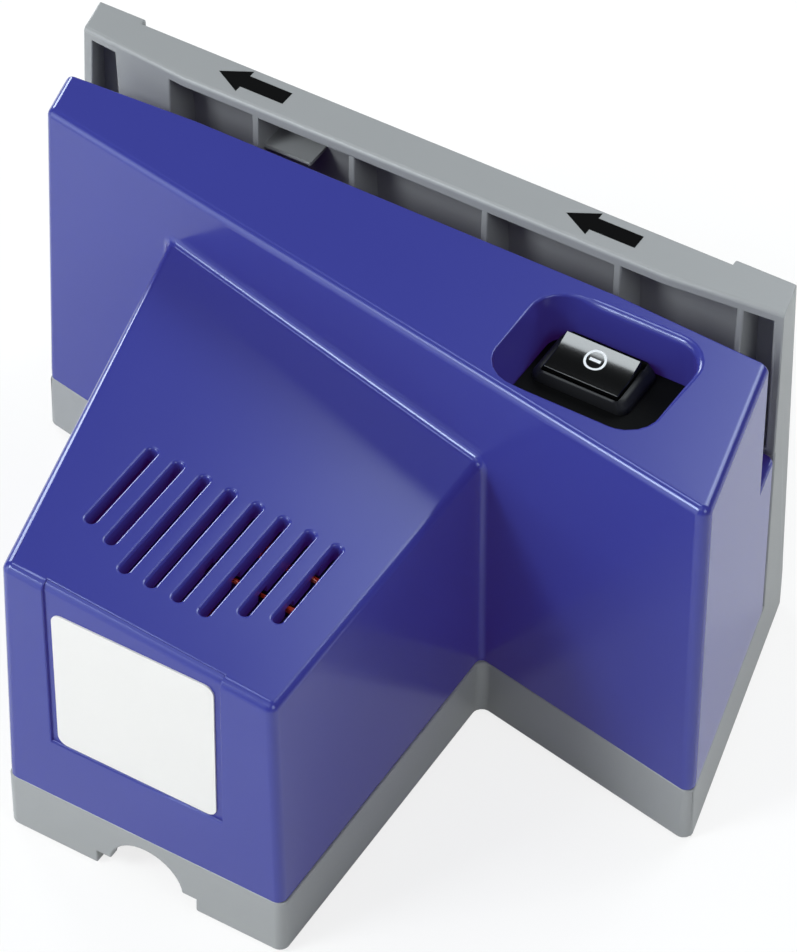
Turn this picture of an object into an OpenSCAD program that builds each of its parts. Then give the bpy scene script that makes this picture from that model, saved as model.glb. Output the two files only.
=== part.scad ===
// Electric scraper sharpener: a bench-top edge planer for plastic scrapers.
// Millimetres, Z up. X runs along the fence, Y points to the back of the machine.
// The origin lies on the table, below the middle of the scraper slot and on the rear foot strip.

/* [Outline] */
// Distance of the left end from the middle of the fence, at the table
half_len = 99.5; // [85:0.5:125]
// Distance by which the right end stands further out than the left one
right_more = 0.7; // [0:0.1:3]
// Angle by which the left end leans to the left towards the back
end_angle = 13.4; // [0:0.1:18]
// Angle by which the right end leans to the left towards the back
right_angle = 12.3; // [0:0.1:18]
// Draft of the left end, from table to top
end_draft = 2.3; // [0:0.1:4]
// Draft of the right end, from table to top
right_draft = 1.7; // [0:0.1:4]
// Height of the grey base band, from its lower edge to the seam
base_h = 17; // [14:0.5:26]
// Height of the blue bar above the base's lower edge
bar_h = 109.2; // [100:0.2:125]
// Front of the bar at the middle of the fence, towards the user
bar_front_y = -35.5; // [-45:0.5:-32]
// Angle of the bar's front, wider to the right
wedge_angle = 10.2; // [4:0.1:12]
// Wall thickness of the blue housing
wall = 2.5; // [1.5:0.1:4]
// Rounding of the blue housing's edges
edge_r = 2.5; // [1:0.1:4]
// Width of the shadow gap between neighbouring mouldings
seam_gap = 0.3; // [0.1:0.05:0.6]

/* [Motor box] */
// Front of the motor box, towards the user
box_front_y = -133.75; // [-150:0.25:-126]
// Left front corner of the motor box at the table
box_left_x = -27.8; // [-40:0.2:-24]
// Right side of the motor box at the table
box_right_x = 48.2; // [44:0.2:56]
// Draft of the motor box's sides
box_draft = 1.4; // [0:0.1:3]
// Height of the sloping roof above the motor can, at the middle of the fence
roof_rise = 13.05; // [10:0.05:16]
// Fall of the roof to the right
roof_tilt = 5.3; // [0:0.1:6.5]
// Number of vent slots in the roof
vent_count = 8; // [2:1:8]
// Distance between vent slots
vent_pitch = 7.07; // [5:0.01:7.5]
// Width of a vent slot
vent_w = 2.4; // [1.5:0.1:3.5]
// Middle of the row of vents
vent_mid_x = 8; // [4:0.5:12]
// Rear end of every vent slot
vent_back_y = -85; // [-90:0.5:-80]
// Length of the outermost vent slots
vent_short = 27; // [20:0.5:30]
// Length of the inner vent slots
vent_long = 34.8; // [30:0.2:38]
// Depth of the vent slots, below the roof's top
vent_depth = 4.6; // [2.5:0.1:5]

/* [Label] */
// Width of the rating label
label_w = 43; // [20:0.5:48]
// Height of the rating label
label_h = 43.5; // [20:0.5:46]
// Thickness of the rating label
label_t = 0.4; // [0.2:0.1:0.6]
// Middle of the label across the front
label_x = 8.6; // [4:0.2:12]
// Distance from the roof down to the label, at the middle of the fence
label_drop = 6.9; // [5:0.1:9]
// Depth of the shallow field around the label
label_field = 0.8; // [0.4:0.1:1.2]
// Width of the field left free around the label
label_margin = 1.8; // [0.5:0.1:2.5]

/* [Slot and fence] */
// Width of the scraper slot in the middle
slot_w = 6.7; // [5:0.1:9]
// Depth of the scraper slot below the bar's top
slot_depth = 40.5; // [30:0.5:44]
// Widening of the slot's front wall at each end
slot_flare = 2.2; // [0:0.1:3]
// Half length of the slot's straight middle part
slot_straight = 58; // [40:1:70]
// Height of the fence's top above the bar's top
fence_rise = 4.75; // [1:0.25:10]
// Depth of the fence's top strip in the middle
strip_depth = 11.9; // [9:0.1:14]
// Thickness of the top strip
strip_t = 3; // [2:0.1:5]
// Half length of the strip's straight middle part
strip_straight = 66; // [50:1:75]
// Set-back of the strip's front edge at each end
strip_lead = 3.1; // [0:0.1:4]
// Step by which the strip's ends stand further back
strip_step = 1.7; // [0:0.1:3]
// Length of the stepped part at each end
strip_step_len = 16.5; // [8:0.5:24]
// Distance from the strip's back edge to the base's back edge, at the table
fence_spread = 9; // [5:0.5:14]
// Wall thickness of the fence and base
fence_wall = 2.5; // [1.8:0.1:4]
// Thickness of the fence's ribs
rib_t = 1.8; // [1.2:0.1:3]
// Distance of the last rib from the right end
rib_inset = 14.7; // [10:0.1:20]
// Width of the solid guide block near the left end
block_w = 17; // [8:0.5:20]
// Distance of the guide block's right side from the middle
block_x = 70; // [66:0.5:74]
// Length of the small shelf beside the first rib
shelf_len = 14; // [6:0.5:20]
// Depth of the shelf's top below the bar's top
shelf_drop = 8.5; // [6:0.5:14]
// Thickness of the shelf
shelf_t = 1; // [0.8:0.1:2]

/* [Switch well] */
// Distance of the finger well's middle from the right end of the fence
well_inset = 35.85; // [32:0.05:40]
// Rim between the finger well and the slot
well_back_rim = 5.5; // [4:0.1:8]
// Rim between the finger well's left corner and the bar's front
well_front_rim = 1.6; // [1:0.1:4]
// Length of the finger well
well_w = 42; // [36:0.5:44]
// Corner radius of the finger well
well_r = 8.5; // [4:0.5:12]
// Corner radius of the finger well at its floor
well_low_r = 5.5; // [3:0.1:8]
// Depth of the finger well
well_depth = 14.2; // [10:0.2:18]
// Lean of the finger well's left side, from its rim to its floor
well_lean = 2.6; // [0:0.2:4]
// Distance of the switch's collar from the finger well's left side
switch_left = 4.6; // [4:0.05:7]
// Distance of the switch's collar from the finger well's back
switch_back = 0.4; // [0.3:0.05:1]
// Length of the switch's collar
collar_w = 25.4; // [23.5:0.1:27]
// Width of the switch's collar
collar_d = 16.6; // [15:0.1:17]
// Height of the collar above the seal
collar_h = 3.4; // [2.5:0.1:4]
// Length of the rocker
rocker_w = 19.6; // [17:0.1:21]
// Width of the rocker
rocker_d = 11.3; // [10:0.1:12.4]
// Angle of the rocker to each side of level
rocker_tilt = 11; // [5:0.5:14]
// Depth of the switch's body below the well floor
switch_deep = 17; // [12:0.5:22]
// Thickness of the rubber seal on the well's floor
seal_t = 0.8; // [0.4:0.1:1.5]

/* [Cutter and motor] */
// Motor axis along the fence
motor_x = 10.4; // [6:0.1:14]
// Diameter of the cutter
cutter_d = 25; // [20:0.5:30]
// Width of the cutter
cutter_w = 5.6; // [4:0.1:6]
// Height of the cutter above the slot's floor
cutter_proud = 0.15; // [0.05:0.05:0.4]
// Number of cutter teeth
cutter_teeth = 8; // [4:1:12]
// Diameter of the motor can
can_d = 36; // [30:0.5:38]
// Length of the motor can
can_len = 57; // [50:1:62]
// Wall of the motor can
can_wall = 1.6; // [1:0.1:2]
// Diameter of the motor shaft
shaft_d = 3.17; // [3:0.01:4]
// Front face of the motor can
motor_face_y = -14; // [-18:0.5:-13]
// Thickness of the motor bracket
bracket_t = 2; // [1.5:0.1:3]
// Half width of the motor bracket
bracket_half = 30; // [28:0.5:32]
// Distance of the bracket's underside from the motor can
bracket_space = 9.15; // [6:0.05:12]
// Distance between the motor's two fixing screws
motor_screw_pitch = 25; // [22:0.5:26]

/* [Power inlet] */
// Radius of the cable arch in the base
arch_r = 9.9; // [8:0.1:10.5]
// Height of the arch's centre above the base's lower edge
arch_rise = 3; // [2:0.1:4]
// Width of the notch below the arch
notch_w = 27.4; // [22:0.2:32]
// Height of the notch below the arch
notch_h = 4; // [3:0.1:4.5]
// Height of the inlet's axis above the base's lower edge
inlet_h = 7.6; // [7:0.1:8.5]
// Diameter of the plug barrel that the inlet takes
plug_d = 5.5; // [4:0.1:6]
// Diameter of the inlet's centre pin
pin_d = 2.1; // [1.3:0.1:2.5]
// Diameter of the inlet's threaded barrel
inlet_d = 7.8; // [7:0.1:9]
// Distance of the inlet's panel behind the front of the base
panel_back = 14; // [12:0.5:18]

/* [Screws and feet] */
// Diameter of the housing screws
screw_d = 3.5; // [3:0.1:4]
// Diameter of the housing screws' heads
screw_head_d = 6.6; // [6:0.1:7]
// Depth to which a housing screw enters the blue housing
screw_bite = 14; // [10:0.5:20]
// Diameter of the screw pillars
pillar_d = 9; // [8.5:0.1:11]
// Width of the rubber foot strips
foot_w = 12; // [8:0.5:14]
// Length of the rear foot strip, along the fence
foot_rear_len = 150; // [100:1:160]
// Length of the front foot strip, under the motor box
foot_front_len = 46; // [30:1:50]
// Height by which the feet stand out of the base
foot_proud = 0.8; // [0.4:0.1:2]
// Depth to which the feet are sunk into the base
foot_sunk = 1; // [0.5:0.1:1.4]
// Diameter of the insulated leads
lead_d = 1.8; // [1.4:0.1:2.4]

/* [Hidden] */

$fn = 48;
ball_fn = 24;
hex_fn = 6;
// Overshoot of a cut past the face it opens, and a reach past the whole machine
cut = 1;
far = 400;
// Radial clearance of a running fit, and of a part that sits fast in its hole
run_fit = 0.03;
drill_fit = 0.02;
// Clearance round a moving piece
free_gap = 0.35;

// Levels above the table
base_z = foot_proud;
floor_z = base_z + fence_wall;
seam_z = base_z + base_h;
bar_top = base_z + bar_h;
fence_top = bar_top + fence_rise;
slot_z = bar_top - slot_depth;
well_z = bar_top - well_depth;
seal_z = well_z + seal_t;
axis_z = slot_z + cutter_proud - cutter_d / 2;
roof_top = axis_z + can_d / 2 + roof_rise;
label_z = roof_top - label_drop - label_h;
inlet_z = base_z + inlet_h;

// Plan values
lean = tan(end_angle);
wedge = tan(wedge_angle);
fall = tan(roof_tilt);
slot_y = slot_w / 2;
strip_back = slot_y + strip_depth;
fence_back = strip_back + strip_step;
base_back = fence_back + fence_spread;
ledge_y = slot_y + strip_lead;
fence_low_y = ledge_y + 2 * seam_gap;
box_inner_y = box_front_y + wall + label_field;

// Finger well between the slot and the bar's front, and the switch in it
well_x = half_len - well_inset;
well_left = well_x - well_w / 2;
well_low_x = well_x + well_lean / 2;
well_low_w = well_w - well_lean;
well_back = -slot_y - well_back_rim;
well_d = well_back - well_front_rim - bar_front_y + wedge * well_left;
well_y = well_back - well_d / 2;
switch_x = well_left + switch_left + collar_w / 2;
switch_y = well_back - switch_back - collar_d / 2;
vent_row = (vent_count - 1) * vent_pitch;

// Places of the fence's ribs; the last one stands near the right end
rib_spots = [-45.5, -18.4, 18.1, 53.8, half_len - rib_inset];

// Reach, lean and draft of an end; side is -1 on the left
function reach_at(side) = half_len + (side > 0 ? right_more : 0);
function angle_at(side) = side > 0 ? right_angle : end_angle;
function draft_at(side) = side > 0 ? right_draft : end_draft;

// Where an end of the machine lies at a depth and height
function end_x(side, y, z, inset = 0) =
    side * (reach_at(side) - inset / cos(angle_at(side)) - z * tan(draft_at(side))) - tan(angle_at(side)) * y;

// Corner of the bar between its front and an end
function bar_front_corner(side, z, inset) =
    let (fy = bar_front_y + inset / cos(wedge_angle))
    let (skew = tan(angle_at(side)))
    let (x = (end_x(side, 0, z, inset) - skew * fy) / (1 - skew * wedge))
    [x, fy - wedge * x];

// Corner of the bar between a line across it and an end
function bar_back_corner(side, y, z, inset) = [end_x(side, y, z, inset), y];

// Side of the motor box; the left one leans as the ends do
function box_x(side, y, z, inset) =
    side > 0
        ? box_right_x - z * tan(box_draft) - inset
        : box_left_x + z * tan(box_draft) - lean * (y - box_front_y) + inset / cos(end_angle);

// Height of the roof's top along the fence
function roof_z(x) = roof_top - fall * x;

// Points of an arc that rounds the corner b between its neighbours a and c
function corner_arc(a, b, c, r, n = 6) =
    let (u = (a - b) / norm(a - b), v = (c - b) / norm(c - b))
    let (half = acos(u * v) / 2)
    let (m = b + (u + v) / norm(u + v) * r / sin(half))
    let (p = b + u * r / tan(half) - m, q = b + v * r / tan(half) - m)
    [for (i = [0 : n]) let (w = p * (n - i) / n + q * i / n) m + w * r / norm(w)];

// Outline with every corner rounded
function rounded(pts, r) =
    let (n = len(pts))
    [for (i = [0 : n - 1]) each corner_arc(pts[(i + n - 1) % n], pts[i], pts[(i + 1) % n], r)];

function rect_points(w, d) = [[-w / 2, -d / 2], [w / 2, -d / 2], [w / 2, d / 2], [-w / 2, d / 2]];

module rounded_plate(w, d, r, h) {
    linear_extrude(h) polygon(rounded(rect_points(w, d), r));
}

// Box that is centred on a point in plan and stands on a level
module block(x, y, z, w, d, h) {
    translate([x - w / 2, y - d / 2, z]) cube([w, d, h]);
}

// Cylinder along Y that starts at a depth and runs to the back
module rod_y(x, y, z, d, len) {
    translate([x, y, z]) rotate([-90, 0, 0]) cylinder(h = len, d = d);
}

module ring_y(x, y, z, d, bore, len) {
    difference() {
        rod_y(x, y, z, d, len);
        rod_y(x, y - cut, z, bore, len + 2 * cut);
    }
}

// Profile in depth and height, drawn out along the fence on both sides of the middle
module along_x(half, pts) {
    rotate([90, 0, 90]) translate([0, 0, -half]) linear_extrude(2 * half) polygon(pts);
}

// Space above a plane that falls with the roof, lowered by an amount
module above_roof(lower) {
    translate([0, 0, roof_top - lower / cos(roof_tilt)])
        rotate([0, roof_tilt, 0])
            translate([-far / 2, -far / 2, 0]) cube(far);
}

// Space beyond an end of the machine, cut to its lean and draft
module beyond_end(side, inset = 0) {
    turn = angle_at(side);
    tip = atan(tan(draft_at(side)) * cos(turn));
    translate([side * (reach_at(side) - inset / cos(turn)), 0, 0])
        rotate([0, -tip, turn + (side > 0 ? 0 : 180)])
            translate([0, -far / 2, -far / 2]) cube(far);
}

// Screws between base and housing
pillar_reach = wall + pillar_d / 2 - seam_gap;
screw_left_y = -pillar_d;
screw_right_y = -4 * pillar_d;
screw_front_y = box_inner_y + pillar_d / 2 - seam_gap;
screw_spots = [[end_x(-1, screw_left_y, bar_top, pillar_reach), screw_left_y],
               [end_x(1, screw_right_y, bar_top, pillar_reach), screw_right_y],
               [box_x(-1, screw_front_y, roof_top, pillar_reach), screw_front_y],
               [box_x(1, screw_front_y, roof_top, pillar_reach), screw_front_y]];
screw_head_h = 2.4;
screw_recess = screw_head_h / 2;
screw_sink = 4;
boss_top = seam_z + 2 * screw_bite;

// Rubber foot strips: middle in plan and length
foot_front_y = box_front_y + panel_back + 2 * foot_w;
box_mid_x = (box_left_x + box_right_x) / 2;
foot_strips = [[[0, 0], foot_rear_len], [[box_mid_x, foot_front_y], foot_front_len]];

// Switch
switch_body_w = 18.8;
switch_body_d = 13.2;
switch_wall = 1;
switch_plate = 0.8;
pivot_drop = 1.6;
pivot_z = seal_z - pivot_drop;
pivot_d = 2.4;
rocker_low = 4;
rocker_edge = 7.1;
rocker_dish = 0.8;
stem_d = 7;
stem_len = 4;
rocker_hole_d = rocker_d * cos(rocker_tilt) + 2 * rocker_edge * sin(rocker_tilt) + 2 * free_gap;
rocker_hole_w = rocker_w + 2 * free_gap;
switch_inner_w = switch_body_w - 2 * switch_wall;
switch_inner_d = switch_body_d - 2 * switch_wall;
switch_low = well_z - switch_deep;
terminal_w = 4.8;
terminal_t = 0.8;
terminal_len = 8;
terminal_gap = 10;

// Motor
can_back_y = motor_face_y - can_len;
can_inner = can_d - 2 * can_wall;
boss_d = 13;
boss_len = 4;
bush_d = 8;
bush_len = 5.6;
front_bush_y = motor_face_y + boss_len - bush_len;
cap_flange = 3;
cap_back_y = can_back_y - cap_flange;
cap_depth = 17;
bush_seat = 0.8;
rear_bush_y = cap_back_y + bush_seat;
magnet_t = 4;
magnet_gap = 0.6;
coil_front = 3;
coil_rear = 5;
coil_space = 1;
coil_step = 1.25;
commutator_d = 10;
commutator_len = 9;
commutator_space = 8;
commutator_y = can_back_y + commutator_space;
core_space = 8;
core_y = commutator_y + commutator_len + coil_space + coil_rear;
core_len = motor_face_y - core_space - core_y;
core_d = can_inner - 2 * (magnet_t + magnet_gap);
coil_d = core_d - 2 * coil_step;
cap_inner = coil_d - coil_space / 2;
magnet_len = core_len + 2 * coil_front;
magnet_space = 12;
brush_w = 4;
brush_len = 5;
blade_off = 12;
blade_len = 6;

// Cutter
arbor_d = 8;
hub_d = 11;
hub_len = 5.4;
cutter_front_y = -cutter_w / 2;
nut_d = 9;
nut_t = 2;
gullet_d = 3.4;
shaft_front_y = cutter_w / 2 - nut_t / 2;
window_space = 2;
window_side = 0.55;

// Motor bracket
bracket_y = motor_face_y;
bracket_top = axis_z + can_d / 2;
bracket_foot_z = axis_z - can_d / 2 - bracket_space;
saddle_angle = 37;
saddle_half = can_d / 2 * cos(saddle_angle);
bracket_foot = 20;
bracket_screw_x = 22;
bracket_screw_y = bracket_y - bracket_foot / 2;
bracket_screw_len = 12;
motor_screw_d = 3;
motor_screw_head = 5.5;
motor_screw_len = 5.5;

// Power inlet
panel_y = box_front_y + panel_back;
panel_t = 3;
inlet_front = 4.5;
inlet_body_d = 2 * (inlet_h - fence_wall - seam_gap);
inlet_body_len = 10;
plug_fit = 0.1;
inlet_bore = plug_d + 2 * plug_fit;
inlet_bore_len = 9;
inlet_back_y = panel_y + panel_t + inlet_body_len;
inlet_nut_d = 11;
inlet_nut_t = 2;
tag_len = 5;
tag_w = 2.5;
tag_t = 0.6;
tag_gap = 5;
panel_half = notch_w / 2 + panel_t;

// Leads: the points between their two ends, kept clear of the motor and the walls
lead_sides = 8;
lead_ref = [0.9, 0.3, 0.3];
lead_start = 4;
inlet_tip = [inlet_back_y + tag_len, inlet_z];
switch_tip_z = switch_low - terminal_len;
motor_tip_y = cap_back_y - blade_len;
lead_side_x = box_x(1, 0, roof_top, wall + 2 * lead_d);
lead_drop = wall + lead_d;
supply_cross = [10, vent_back_y - 19.2];
switch_cross = [28, vent_back_y - 8.5];
function under_roof(x, y) = [x, y, roof_z(x) - lead_drop];
supply_route = [[16, -96, 24], [9, -103, 64], under_roof(13, supply_cross[1]), under_roof(33, supply_cross[1]),
                [lead_side_x, -97, 71], [lead_side_x, -84, 69], [lead_side_x, -46, 64]];
switch_route = [[lead_side_x, -34, 60], [lead_side_x, -52, 56], [36.5, -80, 62],
                under_roof(34.5, switch_cross[1]), under_roof(30, switch_cross[1]), [20, -88, 74]];
return_route = [[4, -92, 26]];

// Blue housing

// Solid form of the bar, with rounded edges and drafted ends
module bar_block() {
    back = ledge_y - edge_r;
    high = bar_top - edge_r;
    hull()
        for (side = [-1, 1]) {
            for (p = [bar_front_corner(side, seam_z, edge_r), bar_back_corner(side, back, seam_z, edge_r)])
                translate([p[0], p[1], seam_z]) cylinder(h = edge_r, r = edge_r, $fn = ball_fn);
            for (p = [bar_front_corner(side, high, edge_r), bar_back_corner(side, back, high, edge_r)])
                translate([p[0], p[1], high]) sphere(edge_r, $fn = ball_fn);
        }
}

// Solid form of the motor box under its tilted roof
module box_block() {
    hull()
        for (side = [-1, 1], y = [box_front_y + edge_r, bar_front_y + 4 * edge_r]) {
            low = box_x(side, y, seam_z, edge_r);
            top = box_x(side, y, roof_top, edge_r);
            translate([low, y, seam_z]) cylinder(h = edge_r, r = edge_r, $fn = ball_fn);
            translate([top, y, roof_z(top) - edge_r / cos(roof_tilt)]) sphere(edge_r, $fn = ball_fn);
        }
}

// The scraper slot, flaring at both ends and open to the back
module slot_cut() {
    reach = half_len + far;
    flare_y = -slot_y - slot_flare * far / (half_len - slot_straight);
    translate([0, 0, slot_z])
        linear_extrude(far)
            polygon([[-slot_straight - far, flare_y], [-slot_straight, -slot_y], [slot_straight, -slot_y],
                     [slot_straight + far, flare_y], [reach, far], [-reach, far]]);
}

// Hollow of the bar: up to its top in front of the slot, and up to the slot's floor behind
module bar_cavity() {
    fronts = [for (side = [-1, 1]) bar_front_corner(side, bar_top, wall)];
    for (part = [[-slot_y - slot_flare - wall, bar_top - wall], [ledge_y - wall, slot_z - wall]]) {
        backs = [for (side = [1, -1]) bar_back_corner(side, part[0], bar_top, wall)];
        translate([0, 0, seam_z - cut]) linear_extrude(part[1] - seam_z + cut) polygon(concat(fronts, backs));
    }
}

// Hollow of the motor box under its roof
module box_cavity() {
    back = -slot_y - slot_flare - wall;
    fronts = [for (side = [-1, 1]) [box_x(side, box_inner_y, roof_top, wall), box_inner_y]];
    backs = [for (side = [1, -1]) [box_x(side, back, roof_top, wall), back]];
    difference() {
        translate([0, 0, seam_z - cut]) linear_extrude(far) polygon(concat(fronts, backs));
        above_roof(wall);
        vent_ribs();
    }
}

// Ribs below the roof that deepen the vents, with channels where the leads cross
module vent_ribs() {
    intersection() {
        difference() {
            block(vent_mid_x, vent_back_y - vent_long / 2, roof_top / 2, vent_row + vent_pitch,
                  vent_long + 2 * vent_w, far);
            for (p = [supply_cross, switch_cross])
                block(p[0] + far / 2, p[1], 0, far, 2 * lead_d, far);
        }
        above_roof(vent_depth);
    }
}

// Vent slots; the two outermost on each side are shorter
module vents() {
    half = (vent_count - 1) / 2;
    for (i = [0 : vent_count - 1]) {
        step = abs(i - half) - half + 2;
        length = step <= 0 ? vent_long : vent_long - (vent_long - vent_short) * (1 + step) / 3;
        translate([vent_mid_x - vent_row / 2 + i * vent_pitch, vent_back_y, roof_top / 2]) {
            translate([-vent_w / 2, vent_w / 2 - length, 0]) cube([vent_w, length - vent_w, far]);
            for (y = [-vent_w / 2, vent_w / 2 - length]) translate([0, y, 0]) cylinder(h = far, d = vent_w);
        }
    }
}

// Space that the housing encloses, less the well's walls and the screw bosses
module housing_hollow() {
    difference() {
        union() {
            bar_cavity();
            box_cavity();
        }
        translate([well_x, well_y, well_z - wall])
            rounded_plate(well_w + 2 * wall, well_d + 2 * wall, well_r + wall, far);
        for (p = screw_spots) translate([p[0], p[1], 0]) cylinder(h = boss_top, d = pillar_d);
    }
}

// Finger well, whose left side leans inwards and whose corners tighten to the floor
module well_cut() {
    hull() {
        translate([well_low_x, well_y, well_z]) rounded_plate(well_low_w, well_d, well_low_r, cut);
        translate([well_x, well_y, bar_top]) rounded_plate(well_w, well_d, well_r, cut);
    }
}

module upper_housing() {
    hole = 2 * drill_fit;
    color("#2d2d96")
        difference() {
            union() {
                bar_block();
                box_block();
            }
            slot_cut();
            housing_hollow();
            well_cut();
            block(switch_x, switch_y, well_z - 2 * wall, switch_body_w + hole, switch_body_d + hole, far);
            vents();
            difference() {
                block(label_x, box_front_y - far / 2 + wall, label_z - label_margin / 3,
                      label_w + 2 * label_margin, far, far);
                translate([0, label_field, 0]) box_block();
            }
            rod_y(motor_x, cutter_front_y - window_side, axis_z, cutter_d + 2 * window_space,
                  cutter_w + 2 * window_side);
            for (p = screw_spots)
                translate([p[0], p[1], seam_z - cut]) cylinder(h = screw_bite + 2 * cut, d = screw_d + hole);
        }
}

module rating_label() {
    color("#e9e9ee")
        translate([label_x, box_front_y + label_field, label_z + label_h / 2])
            rotate([90, 0, 0])
                rounded_plate(label_w, label_h, edge_r, label_t);
}

// Grey base and fence

// Plan of the base, with every side moved inwards by an inset
function base_outline(inset) =
    let (front = box_front_y + inset, back = base_back - inset)
    let (fy = bar_front_y + inset / cos(wedge_angle))
    let (left = box_x(-1, box_front_y, 0, inset), right = box_x(1, 0, 0, inset))
    let (jx = (left - lean * (fy - box_front_y)) / (1 - lean * wedge))
    [[left - lean * inset, front], [right, front], [right, fy - wedge * right],
     bar_front_corner(1, 0, inset), bar_back_corner(1, back, 0, inset),
     bar_back_corner(-1, back, 0, inset), bar_front_corner(-1, 0, inset), [jx, fy - wedge * jx]];

// Back of the fence at a height
function fence_back_y(z) = base_back - fence_spread * (z - base_z) / (fence_top - base_z);

// Space behind the fence's leaning back, moved forward by an amount
module behind_fence(forward) {
    translate([0, base_back - forward, base_z])
        rotate([atan(fence_spread / (fence_top - base_z)), 0, 0])
            translate([-far / 2, 0, -far / 2]) cube(far);
}

// Outer form of the fence above the base
module fence_block() {
    low = slot_z + seam_gap;
    along_x(far / 2, [[base_back, base_z], [base_back, fence_top], [slot_y, fence_top], [slot_y, low],
                      [fence_low_y, low], [fence_low_y, seam_z], [base_back - fence_wall, seam_z]]);
}

// Tapered lead-in at each end of the fence's front
module fence_leads() {
    slope = strip_lead / (half_len - strip_straight);
    for (side = [-1, 1])
        translate([0, 0, slot_z])
            linear_extrude(far)
                polygon([[side * strip_straight, slot_y], [side * (strip_straight + far), slot_y + slope * far],
                         [side * (strip_straight + far), -far], [side * strip_straight, -far]]);
}

// Pockets in the fence between its ribs, the guide block and the two end walls
module fence_pockets() {
    last = len(rib_spots) - 1;
    stops = concat([[-far, -block_x - block_w], [-block_x, rib_spots[0] - rib_t / 2]],
                   [for (i = [0 : last - 1]) [rib_spots[i] + rib_t / 2, rib_spots[i + 1] - rib_t / 2]],
                   [[rib_spots[last] + rib_t / 2, far]]);
    low = slot_z + fence_wall;
    high = fence_top - strip_t;
    inner = strip_step + fence_wall;
    difference() {
        for (s = stops)
            intersection() {
                along_x(far, [[-far, low], [-far, high], [fence_back_y(high) - inner, high],
                              [fence_back_y(low) - inner, low]]);
                translate([s[0], -far, 0]) cube([s[1] - s[0], 2 * far, far]);
            }
        for (side = [-1, 1]) beyond_end(side, fence_wall);
        translate([rib_spots[0], slot_y + fence_wall, bar_top - shelf_drop - shelf_t])
            cube([shelf_len, fence_back, shelf_t]);
    }
}

// Hollow of the fence below the slot's floor, open to the tray
module fence_hollow() {
    high = slot_z - fence_wall;
    front = fence_low_y + fence_wall;
    inner = strip_step + fence_wall;
    difference() {
        along_x(far, [[front, floor_z + cut], [front, high], [fence_back_y(high) - inner, high],
                      [fence_back_y(seam_z) - inner, seam_z], [base_back - inner, floor_z + cut]]);
        for (side = [-1, 1]) beyond_end(side, fence_wall);
    }
}

// Shallow step along the middle of the fence's back
module fence_step() {
    run = half_len - strip_step_len;
    low = floor_z + base_h + fence_wall;
    difference() {
        behind_fence(strip_step);
        translate([-far / 2, -far / 2, low - far]) cube(far);
        for (side = [-1, 1])
            translate([side * run - lean * fence_back - (side < 0 ? far : 0) - side * strip_step, -far / 2, 0])
                cube([far, far, far]);
    }
}

// Cable arch and the notch below it, cut from the front to the inlet's panel
module cable_arch() {
    translate([motor_x, box_front_y - cut, base_z + arch_rise])
        rotate([-90, 0, 0]) cylinder(h = panel_back + cut, r = arch_r);
    block(motor_x, box_front_y + panel_back / 2 - cut / 2, base_z - cut, notch_w, panel_back + cut,
          notch_h + cut);
}

// Uprights that stand on the base's floor: screw pillars, bracket posts, motor saddle, inlet panel
module base_uprights() {
    for (p = screw_spots) translate([p[0], p[1], base_z]) cylinder(h = base_h, d = pillar_d);
    for (side = [-1, 1])
        translate([motor_x + side * bracket_screw_x, bracket_screw_y, base_z])
            cylinder(h = bracket_foot_z - base_z, d = pillar_d);
    difference() {
        block(motor_x, can_back_y + can_wall + cap_depth / 2, base_z, 2 * saddle_half, fence_wall,
              axis_z - base_z);
        rod_y(motor_x, can_back_y, axis_z, can_d + 2 * drill_fit, can_len);
    }
    block(motor_x, panel_y + panel_t / 2, base_z, 2 * panel_half, panel_t, base_h - cut);
}

module base_fence() {
    hole = 2 * drill_fit;
    bracket_low = bracket_foot_z - bracket_screw_len;
    color("#9a9fa3")
        difference() {
            union() {
                difference() {
                    union() {
                        translate([0, 0, base_z])
                            linear_extrude(base_h) polygon(rounded(base_outline(0), edge_r));
                        fence_block();
                    }
                    translate([0, 0, floor_z]) linear_extrude(base_h) polygon(base_outline(fence_wall));
                    fence_leads();
                    fence_pockets();
                    fence_hollow();
                }
                base_uprights();
            }
            fence_step();
            behind_fence(0);
            for (side = [-1, 1]) beyond_end(side);
            cable_arch();
            rod_y(motor_x, panel_y - cut, inlet_z, inlet_d + hole, panel_t + 2 * cut);
            for (p = screw_spots) translate([p[0], p[1], 0]) {
                cylinder(h = far / 2, d = screw_d + hole);
                cylinder(h = base_z + screw_sink, d = screw_head_d + 2 * free_gap);
            }
            for (side = [-1, 1])
                translate([motor_x + side * bracket_screw_x, bracket_screw_y, bracket_low])
                    cylinder(h = bracket_screw_len + cut, d = screw_d + hole);
            foot_solids(hole);
        }
}

// Foot strips, made larger by an amount for their pockets
module foot_solids(grow) {
    for (f = foot_strips)
        translate([f[0][0], f[0][1], 0])
            rounded_plate(f[1] + grow, foot_w + grow, foot_w / 3, foot_proud + foot_sunk);
}

module rubber_feet() {
    color("#222222") foot_solids(0);
}

// Screw with a pan head, standing on the origin's level with its head below
module pan_screw(d, head_d, head_h, length, drive) {
    difference() {
        union() {
            cylinder(h = head_h, d = head_d);
            cylinder(h = head_h + length, d = d);
        }
        translate([0, 0, -cut]) cylinder(h = cut + screw_recess, d = drive, $fn = hex_fn);
    }
}

module housing_screws() {
    seat = base_z + screw_sink;
    color("#8d9094")
        for (p = screw_spots)
            translate([p[0], p[1], seat - screw_head_h])
                pan_screw(screw_d, screw_head_d, screw_head_h, seam_z + screw_bite - seat, screw_d);
}

// Rocker switch

module switch_seal() {
    hole = 2 * drill_fit;
    color("#161616")
        difference() {
            translate([well_low_x, well_y, well_z])
                rounded_plate(well_low_w - 2 * seam_gap, well_d - 2 * seam_gap, well_low_r - seam_gap, seal_t);
            block(switch_x, switch_y, well_z - cut, switch_body_w + hole, switch_body_d + hole,
                  seal_t + 2 * cut);
        }
}

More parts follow.
